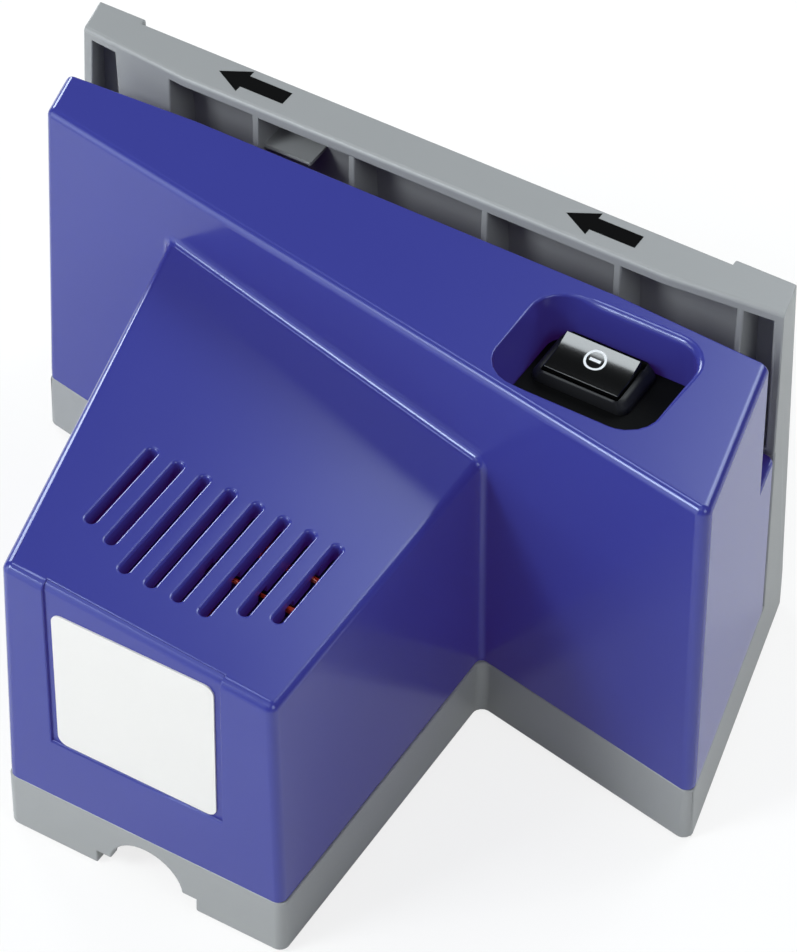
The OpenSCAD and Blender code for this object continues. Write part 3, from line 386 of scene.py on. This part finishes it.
@dataclass
class SoftShell:
    """Copy of a moulded CAD node whose sharp edges are rounded.

    Attributes:
        node: CAD node that is copied.
        flat_deg: Angle under which neighbouring faces are one flat face.
        sharp_deg: Angle from which an edge counts as sharp.
        weld: Distance under which corners are merged, in millimetres.
        step: Length of the pieces into which an edge is split where its rounding changes, in millimetres.
        probe: Distance from an edge at which the look to the outside starts, in millimetres.
    """

    node: str
    flat_deg: float = 0.6
    sharp_deg: float = 25.0
    weld: float = 0.004
    step: float = 2.0
    probe: float = 0.05
    shell: bmesh.types.BMesh = field(init=False)

    def __post_init__(self) -> None:
        """Copy the node's mesh and merge its loose triangles into flat faces."""
        self.shell = bmesh.new()
        self.shell.from_mesh(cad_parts[self.node].data)
        bmesh.ops.remove_doubles(self.shell, verts=self.shell.verts, dist=self.weld * MM)
        bmesh.ops.dissolve_degenerate(self.shell, edges=self.shell.edges, dist=self.weld * MM)
        self.merge_flat()

    def merge_flat(self) -> None:
        """Merge neighbouring faces that lie in one plane."""
        bmesh.ops.dissolve_limit(self.shell, angle_limit=math.radians(self.flat_deg),
                                 verts=self.shell.verts, edges=self.shell.edges)

    def weld_in(self, low: Point, high: Point, gap: float) -> None:
        """Merge the corners within a box that lie closely together.

        Args:
            low: Lowest corner of the box in millimetres.
            high: Highest corner of the box in millimetres.
            gap: Distance under which corners are merged in millimetres.
        """
        near = [v for v in self.shell.verts if all(a < c / MM < b for a, c, b in zip(low, v.co, high))]
        bmesh.ops.remove_doubles(self.shell, verts=near, dist=gap * MM)
        self.merge_flat()

    def sharp_edges(self, rule: EdgeRule, concave: bool = False) -> list[bmesh.types.BMEdge]:
        """Pick the sharp edges that open to the outside and meet a rule.

        Args:
            rule: Test of an edge, given its middle in millimetres.
            concave: Whether inner corners are picked in place of outer ones.

        Returns:
            The edges that were picked.
        """
        self.shell.normal_update()
        tree = BVHTree.FromBMesh(self.shell)
        picked = []
        for edge in self.shell.edges:
            if len(edge.link_faces) != 2 or edge.calc_face_angle() < math.radians(self.sharp_deg):
                continue
            middle = (edge.verts[0].co + edge.verts[1].co) / 2
            if edge.is_convex == concave or not rule(middle / MM, edge):
                continue
            outward = sum((f.normal for f in edge.link_faces), Vector()).normalized()
            if tree.ray_cast(middle + outward * self.probe * MM, outward)[0] is None:
                picked.append(edge)
        return picked

    def round_edges(self, radius: float, rule: EdgeRule, segments: int = 3, concave: bool = False) -> None:
        """Round the sharp edges that meet a rule.

        Args:
            radius: Width of the rounding to each side in millimetres.
            rule: Test of an edge, given its middle in millimetres.
            segments: Number of strips across the rounding.
            concave: Whether inner corners are rounded in place of outer ones.
        """
        edges = self.sharp_edges(rule, concave)
        if not edges:
            LOG.warning("%s has no edge to round by %.2f mm", self.node, radius)
            return
        bmesh.ops.bevel(self.shell, geom=edges, offset=radius * MM, offset_type="OFFSET", segments=segments,
                        profile=0.5, affect="EDGES", clamp_overlap=False)
        LOG.info("%s: %d edges rounded by %.2f mm", self.node, len(edges), radius)

    def round_by_share(self, radius: float, rule: EdgeRule, share: EdgeShare, segments: int = 5) -> None:
        """Round sharp edges by a width that changes from edge to edge.

        Args:
            radius: Largest width of the rounding in millimetres.
            rule: Test of an edge, given its middle in millimetres.
            share: Share of the largest width, given an edge's middle in millimetres.
            segments: Number of strips across the rounding.
        """
        for edge in self.sharp_edges(rule):
            for left in range(int(edge.calc_length() / MM / self.step), 1, -1):
                bmesh.utils.edge_split(edge, edge.verts[0], 1 / left)
        weight = self.shell.edges.layers.float.new("bevel_weight_edge")
        for edge in self.sharp_edges(rule):
            edge[weight] = share((edge.verts[0].co + edge.verts[1].co) / 2 / MM)
        draft = bpy.data.meshes.new("draft")
        self.shell.to_mesh(draft)
        holder = bpy.data.objects.new("draft", draft)
        bpy.context.scene.collection.objects.link(holder)
        bevel = holder.modifiers.new("round", "BEVEL")
        bevel.limit_method = "WEIGHT"
        bevel.width = radius * MM
        bevel.segments = segments
        bevel.use_clamp_overlap = False
        made = flattened(holder)
        self.shell.clear()
        self.shell.from_mesh(made)
        bpy.data.meshes.remove(made)

    def mesh(self, smooth_deg: float = 32.0) -> bpy.types.Mesh:
        """Turn the shell into a mesh whose flat faces shade flat.

        Args:
            smooth_deg: Angle under which neighbouring faces shade as one.

        Returns:
            The finished mesh, with its normals weighted by face size.
        """
        made = bpy.data.meshes.new(self.node)
        for face in self.shell.faces:
            face.smooth = True
        self.shell.to_mesh(made)
        self.shell.free()
        return weighted(made, smooth_deg)


def weighted(mesh: bpy.types.Mesh, smooth_deg: float) -> bpy.types.Mesh:
    """Weight a mesh's normals so that rounded edges shade cleanly into flat faces.

    Args:
        mesh: Mesh to finish.
        smooth_deg: Angle under which neighbouring faces shade as one.

    Returns:
        A new mesh that replaces the given one.
    """
    mesh.set_sharp_from_angle(angle=math.radians(smooth_deg))
    holder = bpy.data.objects.new("holder", mesh)
    bpy.context.scene.collection.objects.link(holder)
    weigh = holder.modifiers.new("weigh", "WEIGHTED_NORMAL")
    weigh.keep_sharp = True
    weigh.weight = STRONGEST_WEIGHT
    return flattened(holder)


def flattened(holder: bpy.types.Object) -> bpy.types.Mesh:
    """Turn an object with modifiers into a plain mesh and remove the object.

    Args:
        holder: Object that carries the modifiers.

    Returns:
        The evaluated mesh.
    """
    graph = bpy.context.evaluated_depsgraph_get()
    made = bpy.data.meshes.new_from_object(holder.evaluated_get(graph), preserve_all_data_layers=True,
                                           depsgraph=graph)
    old = holder.data
    holder.modifiers.clear()
    bpy.data.objects.remove(holder)
    bpy.data.meshes.remove(old)
    return made


@dataclass
class HousingShell:
    """Blue upper moulding: bar, motor box, slot, finger well, vents and label field.

    Attributes:
        bar_top: Height of the bar's top.
        slot_floor: Height of the slot's floor.
        slot_front: Depth in front of which the slot's wall lies.
        front_y: Front of the bar at the middle of the fence.
        front_slope: Widening of the bar to the right.
        front_near: Distance within which an edge counts as on the bar's front.
        fillet: Radius of the inner corner between bar and motor box.
        slot_edge: Rounding along the slot.
        floor_near: Distance within which an edge counts as on the slot's floor.
        well_edge: Rounding of the finger well's rim at its back.
        well_span: Depths of the finger well's back and front edges.
        well_left: Place of the finger well's left edge.
        well_rise: Length over which the rim's rounding grows from the left edge.
        well_left_share: Share of the rounding at the left edge.
        well_front_share: Least share of the rounding towards the front.
        well_fall: Loss of share from the back to the front, before that least share holds.
        rim_depth: Depth below the bar's top in which an edge belongs to the rim.
        rim_clear: Depth below the bar's top from which it doesn't.
        well_box: Lowest and highest corner of a box round the finger well's walls.
        well_gap: Distance under which corners of those walls are one.
        vent_edge: Rounding of the vents' rims.
        vent_spans: Spans of the vents along the fence, in depth and in height.
        fine_edge: Rounding of the label field and the seam.
    """

    bar_top: float = 110.0
    slot_floor: float = 69.5
    slot_front: float = -6.0
    front_y: float = -35.5
    front_slope: float = math.tan(math.radians(10.2))
    front_near: float = 0.08
    fillet: float = 2.0
    slot_edge: float = 0.8
    floor_near: float = 0.2
    well_edge: float = 2.0
    well_span: tuple[float, float] = (-8.9, -42.0)
    well_left: float = 42.65
    well_rise: float = 14.0
    well_left_share: float = 0.3
    well_front_share: float = 0.4
    well_fall: float = 0.9
    rim_depth: float = 0.6
    rim_clear: float = 0.65
    well_box: tuple[Point, Point] = ((40.5, -43.0, 95.0), (86.0, -8.0, 111.0))
    well_gap: float = 0.12
    vent_edge: float = 0.8
    vent_spans: tuple[tuple[float, float], ...] = ((-21.0, 37.0), (-121.0, -84.5), (80.0, 95.0))
    fine_edge: float = 0.35

    def in_corner(self, at: Vector, edge: bmesh.types.BMEdge) -> bool:
        """Tell whether an edge lies on the bar's front, where the motor box joins it."""
        ends = [v.co / MM for v in edge.verts]
        return all(abs(e.y + self.front_slope * e.x - self.front_y) < self.front_near for e in ends)

    def on_slot(self, at: Vector, edge: bmesh.types.BMEdge) -> bool:
        """Tell whether an edge runs along the slot's wall or its ledge."""
        return at.y > self.slot_front and at.z > self.slot_floor - self.floor_near

    def on_well(self, at: Vector, edge: bmesh.types.BMEdge) -> bool:
        """Tell whether an edge lies on the finger well's rim."""
        return at.z > self.bar_top - self.rim_depth and at.y < self.slot_front

    def well_share(self, at: Vector) -> float:
        """Give the rim's rounding at a place, widest at the well's back."""
        back, front = self.well_span
        deep = min(1.0, max(self.well_front_share, 1.0 - self.well_fall * (back - at.y) / (back - front)))
        return deep * min(1.0, max(self.well_left_share, (at.x - self.well_left) / self.well_rise))

    def on_vents(self, at: Vector, edge: bmesh.types.BMEdge) -> bool:
        """Tell whether an edge lies on a vent's rim."""
        return all(low < place < high for place, (low, high) in zip(at, self.vent_spans))

    def elsewhere(self, at: Vector, edge: bmesh.types.BMEdge) -> bool:
        """Tell whether an edge belongs to the label field or the seam."""
        below = at.z < self.bar_top - self.rim_clear
        return below and not self.on_slot(at, edge) and not self.on_vents(at, edge)

    def build(self) -> None:
        """Round the moulding's edges, coarse ones first, and put it in place of its node."""
        shell = SoftShell("upper_housing")
        shell.weld_in(*self.well_box, self.well_gap)
        shell.round_edges(self.fillet, self.in_corner, 4, concave=True)
        shell.round_by_share(self.well_edge, self.on_well, self.well_share)
        shell.round_edges(self.slot_edge, self.on_slot)
        shell.round_edges(self.fine_edge, self.elsewhere, 2)
        shell.round_edges(self.vent_edge, self.on_vents)
        add_piece("housing_shell", shell.mesh(), BLUE, BODY, ["upper_housing"])


@dataclass
class BaseAndFence:
    """Grey lower moulding: base band, cable arch, fence with its strip, ribs and guide block.

    Attributes:
        top: Height of the fence's top.
        lip_edge: Rounding of the strip's front edge.
        lip_back: Depth up to which an edge of the top belongs to the strip's front.
        block_left: Left side of the guide block.
        block_edge: Rounding of the guide block's left edge.
        edge: Rounding of all other edges.
        top_near: Distance within which an edge counts as on the top.
        block_near: Distance within which an edge counts as on the guide block's left side.
        upright: Height from which an edge of the guide block counts as upright.
        arrow_tips: Places of the arrows' tips along the fence.
        arrow_y: Depth of the arrows' middle line.
        arrow_len: Length of an arrow, and of its head.
        arrow_half: Half width of an arrow's head, and of its shaft.
        print_rise: Thickness of the print.
    """

    top: float = 114.75
    lip_edge: float = 1.2
    lip_back: float = 7.5
    block_left: float = -87.0
    block_edge: float = 2.2
    edge: float = 0.5
    top_near: float = 0.05
    block_near: float = 0.1
    upright: float = 5.0
    arrow_tips: tuple[float, ...] = (-59.9, 36.1)
    arrow_y: float = 10.15
    arrow_len: tuple[float, float] = (19.4, 7.4)
    arrow_half: tuple[float, float] = (4.2, 2.25)
    print_rise: float = 0.03

    def on_lip(self, at: Vector, edge: bmesh.types.BMEdge) -> bool:
        """Tell whether an edge runs along the front of the strip's top."""
        return at.z > self.top - self.top_near and at.y < self.lip_back

    def on_block(self, at: Vector, edge: bmesh.types.BMEdge) -> bool:
        """Tell whether an edge is the guide block's upright left edge."""
        rise = abs(edge.verts[0].co.z - edge.verts[1].co.z)
        return abs(at.x - self.block_left) < self.block_near and rise > self.upright * MM

    def elsewhere(self, at: Vector, edge: bmesh.types.BMEdge) -> bool:
        """Tell whether an edge is neither on the lip nor on the block."""
        return at.z < self.top - self.lip_edge - self.top_near or at.y > self.lip_back

    def arrow(self) -> bpy.types.Mesh:
        """Build a flat arrow that points to the left, about its tip.

        Returns:
            The printed arrow as a thin mesh.
        """
        (length, head), (wide, narrow) = self.arrow_len, self.arrow_half
        outline = [(0, 0), (head, -wide), (head, -narrow), (length, -narrow),
                   (length, narrow), (head, narrow), (head, wide)]
        return prism(outline, 0.0, self.print_rise)

    def build(self) -> None:
        """Round the moulding's edges, put it in place of its node and print the arrows."""
        shell = SoftShell("base_fence")
        shell.round_edges(self.lip_edge, self.on_lip, 5)
        shell.round_edges(self.block_edge, self.on_block, 5)
        shell.round_edges(self.edge, self.elsewhere)
        add_piece("base_and_fence", shell.mesh(), GREY, BODY, ["base_fence"])
        tips = [mm(x, self.arrow_y, self.top) for x in self.arrow_tips]
        add_piece("feed_arrows", Pattern(self.arrow(), tips, PRINT).mesh(), PRINT, BODY)


@dataclass
class FootStrips:
    """Rubber strips under the base, with grip ribs across them.

    Attributes:
        strips: Middle in plan and length of each strip.
        rib_pitch: Distance between ribs.
        rib_half: Half length of a rib along the strip, and across it.
        rib_h: Height of a rib.
        rib_sink: Depth by which a rib stands in its strip.
        end_free: Length left without ribs at each end.
    """

    strips: tuple[tuple[Point, float], ...] = (((0.0, 0.0, 0.0), 150.0), ((10.2, -95.75, 0.0), 46.0))
    rib_pitch: float = 2.4
    rib_half: tuple[float, float] = (0.7, 4.8)
    rib_h: float = 0.3
    rib_sink: float = 0.1
    end_free: float = 4.0

    def build(self) -> None:
        """Raise the strips' undersides by a rib's height and set the ribs below them."""
        strips = SoftShell("rubber_feet")
        for corner in strips.shell.verts:
            corner.co.z = max(corner.co.z, self.rib_h * MM)
        add_piece("foot_strips", strips.mesh(), RUBBER, BODY, ["rubber_feet"])
        places = []
        for middle, length in self.strips:
            count = int((length - 2 * self.end_free) / self.rib_pitch)
            first = middle[0] - count * self.rib_pitch / 2
            places += [mm(first + i * self.rib_pitch, middle[1], 0.0) for i in range(count + 1)]
        long, across = self.rib_half
        plan = [(-long, -across), (long, -across), (long, across), (-long, across)]
        rib = prism(plan, 0.0, self.rib_h + self.rib_sink)
        add_piece("foot_ribs", Pattern(rib, places, RUBBER).mesh(), RUBBER, BODY)


@dataclass
class RockerSwitch:
    """Rocker switch in the finger well, with its collar, floor seal and printed sign.

    Attributes:
        middle: Rocker's pivot in millimetres.
        tilt_deg: Tilt of the rocker at rest.
        face_mid: Height of the rocker's crease above the pivot, before tilting.
        face_edge: Height of the rocker's edges above the pivot, before tilting.
        half_depth: Half of the rocker's depth.
        sign_y: Place of the sign's middle across the rocker.
        ring_outer: Outer radius of the ring sign.
        ring_inner: Inner radius of the ring sign.
        ring_steps: Number of straight pieces in the ring.
        bar: Half length and half width of the bar in the ring.
        hole_half: Half length and half depth of the rocker's hole in the collar.
        hole_clear: Distance from the hole from which an edge belongs to the collar's outside.
        clear_up: Height above the pivot from which edges are rounded.
        collar_edge: Rounding of the collar.
        rocker_edge: Rounding of the rocker.
        rocker_sharp_deg: Angle from which an edge of the rocker counts as sharp.
        rocker_smooth_deg: Angle under which neighbouring faces of the rocker shade as one.
        print_rise: Thickness of the print.
    """

    middle: Point = (59.95, -17.55, 95.0)
    tilt_deg: float = 11.0
    face_mid: float = 6.3
    face_edge: float = 7.1
    half_depth: float = 5.65
    sign_y: float = 1.4
    ring_outer: float = 2.75
    ring_inner: float = 2.15
    ring_steps: int = 64
    bar: tuple[float, float] = (1.45, 0.38)
    hole_half: tuple[float, float] = (10.15, 7.3)
    hole_clear: float = 0.3
    clear_up: float = 2.0
    collar_edge: float = 0.7
    rocker_edge: float = 0.22
    rocker_sharp_deg: float = 30.0
    rocker_smooth_deg: float = 12.0
    print_rise: float = 0.03

    def face_height(self, y: float) -> float:
        """Give the rocker's surface height above the pivot at a depth, before tilting."""
        return self.face_mid + (self.face_edge - self.face_mid) * abs(y) / self.half_depth

    def on_face(self, x: float, y: float) -> Vector:
        """Place a point of the print on the tilted rocker.

        Args:
            x: Place along the rocker in millimetres.
            y: Place across the rocker in millimetres, from the sign's middle.

        Returns:
            The point in metres.
        """
        flat = Vector((x, y + self.sign_y, self.face_height(y + self.sign_y) + self.print_rise))
        turned = Matrix.Rotation(math.radians(self.tilt_deg), 3, "X") @ flat
        return (turned + Vector(self.middle)) * MM

    def sign(self) -> bpy.types.Mesh:
        """Build the ring and bar that mark the switch.

        Returns:
            The printed sign as a thin mesh.
        """
        print_mesh = bmesh.new()
        angles = [math.tau * i / self.ring_steps for i in range(self.ring_steps)]
        rings = [[print_mesh.verts.new(self.on_face(r * math.cos(a), r * math.sin(a))) for a in angles]
                 for r in (self.ring_inner, self.ring_outer)]
        for i in range(self.ring_steps):
            j = (i + 1) % self.ring_steps
            print_mesh.faces.new((rings[0][i], rings[1][i], rings[1][j], rings[0][j]))
        half_x, half_y = self.bar
        rows = [[print_mesh.verts.new(self.on_face(x, y)) for y in (-half_y, 0.0, half_y)]
                for x in (-half_x, half_x)]
        for k in range(2):
            print_mesh.faces.new((rows[0][k], rows[1][k], rows[1][k + 1], rows[0][k + 1]))
        bmesh.ops.recalc_face_normals(print_mesh, faces=print_mesh.faces)
        made = bpy.data.meshes.new("sign")
        print_mesh.to_mesh(made)
        print_mesh.free()
        return made

    def on_skirt(self, at: Vector, edge: bmesh.types.BMEdge) -> bool:
        """Tell whether an edge lies on the collar's outside."""
        half_x, half_y = (half + self.hole_clear for half in self.hole_half)
        beside = abs(at.x - self.middle[0]) > half_x or abs(at.y - self.middle[1]) > half_y
        return beside and self.is_high(at, edge)

    def is_high(self, at: Vector, edge: bmesh.types.BMEdge) -> bool:
        """Tell whether an edge lies well above the pivot."""
        return at.z > self.middle[2] + self.clear_up

    def build(self) -> None:
        """Build the switch's rounded pieces and dress the rest."""
        collar = SoftShell("switch_body")
        collar.round_edges(self.collar_edge, self.on_skirt, 4)
        add_piece("switch_collar", collar.mesh(), COLLAR, BODY, ["switch_body"])
        rocker = SoftShell("switch_rocker", sharp_deg=self.rocker_sharp_deg)
        rocker.round_edges(self.rocker_edge, self.is_high)
        add_piece("rocker", rocker.mesh(self.rocker_smooth_deg), ROCKER_BLACK, ROCKER,
                  ["switch_rocker"])
        add_piece("rocker_sign", self.sign(), SYMBOL, ROCKER)
        dress("switch_seal", SEAL)
        dress("switch_terminals", BRASS)


@dataclass
class InnerWorks:
    """Label, motor, cutter, inlet and leads, whose shapes are right as they are.

    Attributes:
        finishes: Finish of each CAD node.
    """

    finishes: dict[str, Finish] = field(default_factory=lambda: {
        "rating_label": FILM, "inlet_body": COLLAR, "inlet_pin": BRASS, "inlet_nut": STEEL,
        "inlet_tags": BRASS, "motor_bracket": STEEL, "motor_can": STEEL, "motor_end_cap": MOTOR_BLACK,
        "motor_magnets": MAGNET, "motor_brushes": CARBON, "motor_terminals": BRASS, "front_bush": BRONZE,
        "rear_bush": BRONZE, "motor_shaft": TOOL_STEEL, "armature_core": STEEL, "armature_winding": COPPER,
        "commutator": COPPER, "cutter_hub": STEEL, "cutter": TOOL_STEEL, "hub_screw": STEEL,
        "cutter_nut": STEEL, "bracket_screws": STEEL, "motor_screws": STEEL, "housing_screws": STEEL,
        "supply_lead": RED_LEAD, "switch_lead": RED_LEAD, "return_lead": BLACK_LEAD})

    def build(self) -> None:
        """Dress every node of the drive."""
        for node, finish in self.finishes.items():
            dress(node, finish)


@dataclass
class Lamp:
    """Soft square lamp that shines at the object.

    Attributes:
        name: Name of the lamp.
        place: Where it hangs in metres.
        width: Side of the square in metres.
        watts: Power.
        sheen_only: Whether it shows only as a highlight.
    """

    name: str
    place: Point
    width: float
    watts: float
    sheen_only: bool = False

    def hang(self, aim: Vector, tint: Color) -> None:
        """Hang the lamp so that it points at a place.

        Args:
            aim: Place that it points at in metres.
            tint: Colour of its light.
        """
        light = bpy.data.lights.new(self.name, "AREA")
        light.size = self.width
        light.energy = self.watts
        light.color = tint
        lamp = bpy.data.objects.new(self.name, light)
        lamp.location = self.place
        lamp.visible_diffuse = not self.sheen_only
        lamp.rotation_euler = (aim - lamp.location).to_track_quat("-Z", "Y").to_euler()
        bpy.context.scene.collection.objects.link(lamp)


@dataclass
class Studio:
    """Floor, lamps, surroundings and camera.

    Attributes:
        eye: Camera's place in millimetres.
        azimuth: Camera's angle round the object, from the front towards the right.
        elevation: Camera's angle above the floor.
        roll: Camera's turn about its own axis.
        lens: Focal length in millimetres.
        far: Distance up to which the camera sees in metres.
        aim: Place that the lamps point at in metres.
        lamps: The lamps.
        lamp_tint: Colour of the light.
        ambient: Strength of the even light from all sides.
        backdrop: Sines of the elevations between which the white backdrop fades out.
        floor_white: Share of plain white in the floor as it is seen, the rest being its light and shadow.
        mirror_white: Share of that white which mirror and see-through rays meet.
        floor_color: Colour of the floor in linear light.
        floor_roughness: Roughness of the floor.
        floor_half: Half of the floor's side in metres.
        floor_z: Height of the floor in metres, just clear of the feet.
    """

    eye: Point = (376.43, -652.45, 784.09)
    azimuth: float = 30.085
    elevation: float = 45.544
    roll: float = 1.300
    lens: float = 162.13
    far: float = 50.0
    aim: Point = (0.0, -0.03, 0.06)
    lamps: tuple[Lamp, ...] = (
        Lamp("front_left", (-0.9, -1.2, 0.5), 1.2, 8.6),
        Lamp("low_left", (-1.3, -0.9, 0.45), 0.7, 2.8),
        Lamp("high_front_left", (-0.6, -1.0, 1.05), 0.42, 12.2),
        Lamp("top_front", (0.0, -0.7, 1.2), 0.8, 2.6),
        Lamp("overhead", (-0.36, 0.09, 1.3), 0.36, 3.2, sheen_only=True),
        Lamp("right", (1.1, -0.45, 0.85), 0.6, 5.4),
        Lamp("back_high", (0.0, 0.9, 1.0), 0.6, 4.0),
        Lamp("back_right", (0.45, 1.0, 1.0), 0.6, 6.7),
        Lamp("left_back", (-1.15, 0.65, 0.55), 0.45, 7.5),
    )
    ambient: float = 0.04
    backdrop: tuple[float, float] = (0.05, 0.25)
    floor_white: float = 0.8
    mirror_white: float = 0.07
    lamp_tint: Color = (0.93, 1.0, 1.04)
    floor_color: Color = (0.95, 0.93, 0.91)
    floor_roughness: float = 0.9
    floor_half: float = 3.0
    floor_z: float = -0.00005

    def camera(self) -> None:
        """Place the camera at the photograph's angle."""
        a, e, r = (math.radians(v) for v in (self.azimuth, self.elevation, self.roll))
        back = Vector((math.sin(a) * math.cos(e), -math.cos(a) * math.cos(e), math.sin(e)))
        level = Vector((math.cos(a), math.sin(a), 0.0))
        upright = back.cross(level)
        right = math.cos(r) * level + math.sin(r) * upright
        up = math.cos(r) * upright - math.sin(r) * level
        data = bpy.data.cameras.new("camera")
        data.lens = self.lens
        data.sensor_width = SENSOR_WIDTH
        data.sensor_fit = "AUTO"
        data.clip_end = self.far
        camera = bpy.data.objects.new("camera", data)
        turn = Matrix((right, up, back)).transposed().to_4x4()
        camera.matrix_world = Matrix.Translation(mm(*self.eye)) @ turn
        bpy.context.scene.collection.objects.link(camera)
        bpy.context.scene.camera = camera

    def seen_rays(self, nodes: bpy.types.Nodes, links: bpy.types.NodeLinks) -> bpy.types.NodeSocket:
        """Build the mask of rays on which the white backdrop and floor show.

        Args:
            nodes: Nodes of the tree that shows them.
            links: Links of that tree.

        Returns:
            Socket that is 1 on camera rays and a share of it on mirror and see-through rays.
        """
        path = nodes.new("ShaderNodeLightPath")
        beside = nodes.new("ShaderNodeMath")
        beside.operation = "MAXIMUM"
        links.new(path.outputs["Is Glossy Ray"], beside.inputs[0])
        links.new(path.outputs["Is Transmission Ray"], beside.inputs[1])
        dimmed = nodes.new("ShaderNodeMath")
        dimmed.operation = "MULTIPLY"
        dimmed.inputs[1].default_value = self.mirror_white
        links.new(beside.outputs[0], dimmed.inputs[0])
        joined = nodes.new("ShaderNodeMath")
        joined.operation = "MAXIMUM"
        links.new(path.outputs["Is Camera Ray"], joined.inputs[0])
        links.new(dimmed.outputs[0], joined.inputs[1])
        return joined.outputs[0]

    def surroundings(self) -> None:
        """Light the scene evenly from all sides, with a white backdrop that fades out above."""
        world = bpy.data.worlds.new("surroundings")
        bpy.context.scene.world = world
        world.use_nodes = True
        nodes, links = world.node_tree.nodes, world.node_tree.links
        even = nodes["Background"]
        even.inputs["Color"].default_value = (*self.lamp_tint, 1.0)
        even.inputs["Strength"].default_value = self.ambient
        white = nodes.new("ShaderNodeBackground")
        white.inputs["Color"].default_value = (1.0, 1.0, 1.0, 1.0)
        white.inputs["Strength"].default_value = 1.0
        place = nodes.new("ShaderNodeTexCoord")
        split = nodes.new("ShaderNodeSeparateXYZ")
        links.new(place.outputs["Generated"], split.inputs["Vector"])
        fade = nodes.new("ShaderNodeMapRange")
        low, high = self.backdrop
        fade.inputs["From Min"].default_value = low
        fade.inputs["From Max"].default_value = high
        fade.inputs["To Min"].default_value = 1.0
        fade.inputs["To Max"].default_value = 0.0
        links.new(split.outputs["Z"], fade.inputs["Value"])
        share = nodes.new("ShaderNodeMath")
        share.operation = "MULTIPLY"
        links.new(fade.outputs["Result"], share.inputs[0])
        links.new(self.seen_rays(nodes, links), share.inputs[1])
        mix = nodes.new("ShaderNodeMixShader")
        links.new(share.outputs[0], mix.inputs["Fac"])
        links.new(even.outputs[0], mix.inputs[1])
        links.new(white.outputs[0], mix.inputs[2])
        links.new(mix.outputs[0], nodes["World Output"].inputs["Surface"])

    def floor(self) -> None:
        """Lay a plain pale floor."""
        shape = bmesh.new()
        half = self.floor_half
        corners = ((-half, -half), (half, -half), (half, half), (-half, half))
        shape.faces.new([shape.verts.new((x, y, self.floor_z)) for x, y in corners])
        mesh = bpy.data.meshes.new("floor")
        shape.to_mesh(mesh)
        shape.free()
        pale = bpy.data.materials.new("pale_floor")
        pale.use_nodes = True
        nodes, links = pale.node_tree.nodes, pale.node_tree.links
        lit = nodes["Principled BSDF"]
        lit.inputs["Base Color"].default_value = (*self.floor_color, 1.0)
        lit.inputs["Roughness"].default_value = self.floor_roughness
        white = nodes.new("ShaderNodeEmission")
        share = nodes.new("ShaderNodeMath")
        share.operation = "MULTIPLY"
        share.inputs[1].default_value = self.floor_white
        links.new(self.seen_rays(nodes, links), share.inputs[0])
        mix = nodes.new("ShaderNodeMixShader")
        links.new(share.outputs[0], mix.inputs["Fac"])
        links.new(lit.outputs[0], mix.inputs[1])
        links.new(white.outputs[0], mix.inputs[2])
        links.new(mix.outputs[0], nodes["Material Output"].inputs["Surface"])
        mesh.materials.append(pale)
        floor = bpy.data.objects.new("floor", mesh)
        bpy.context.scene.collection.objects.link(floor)

    def build(self) -> None:
        """Set up the view, the light and the floor."""
        bpy.context.scene.view_settings.view_transform = "Standard"
        self.camera()
        self.surroundings()
        self.floor()
        for lamp in self.lamps:
            lamp.hang(Vector(self.aim), self.lamp_tint)


def main() -> None:
    """Build the looks in order."""
    logging.basicConfig(level=logging.INFO, format="%(message)s")
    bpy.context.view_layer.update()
    Studio().build()
    HousingShell().build()
    BaseAndFence().build()
    FootStrips().build()
    RockerSwitch().build()
    InnerWorks().build()


if __name__ == "__main__":
    main()
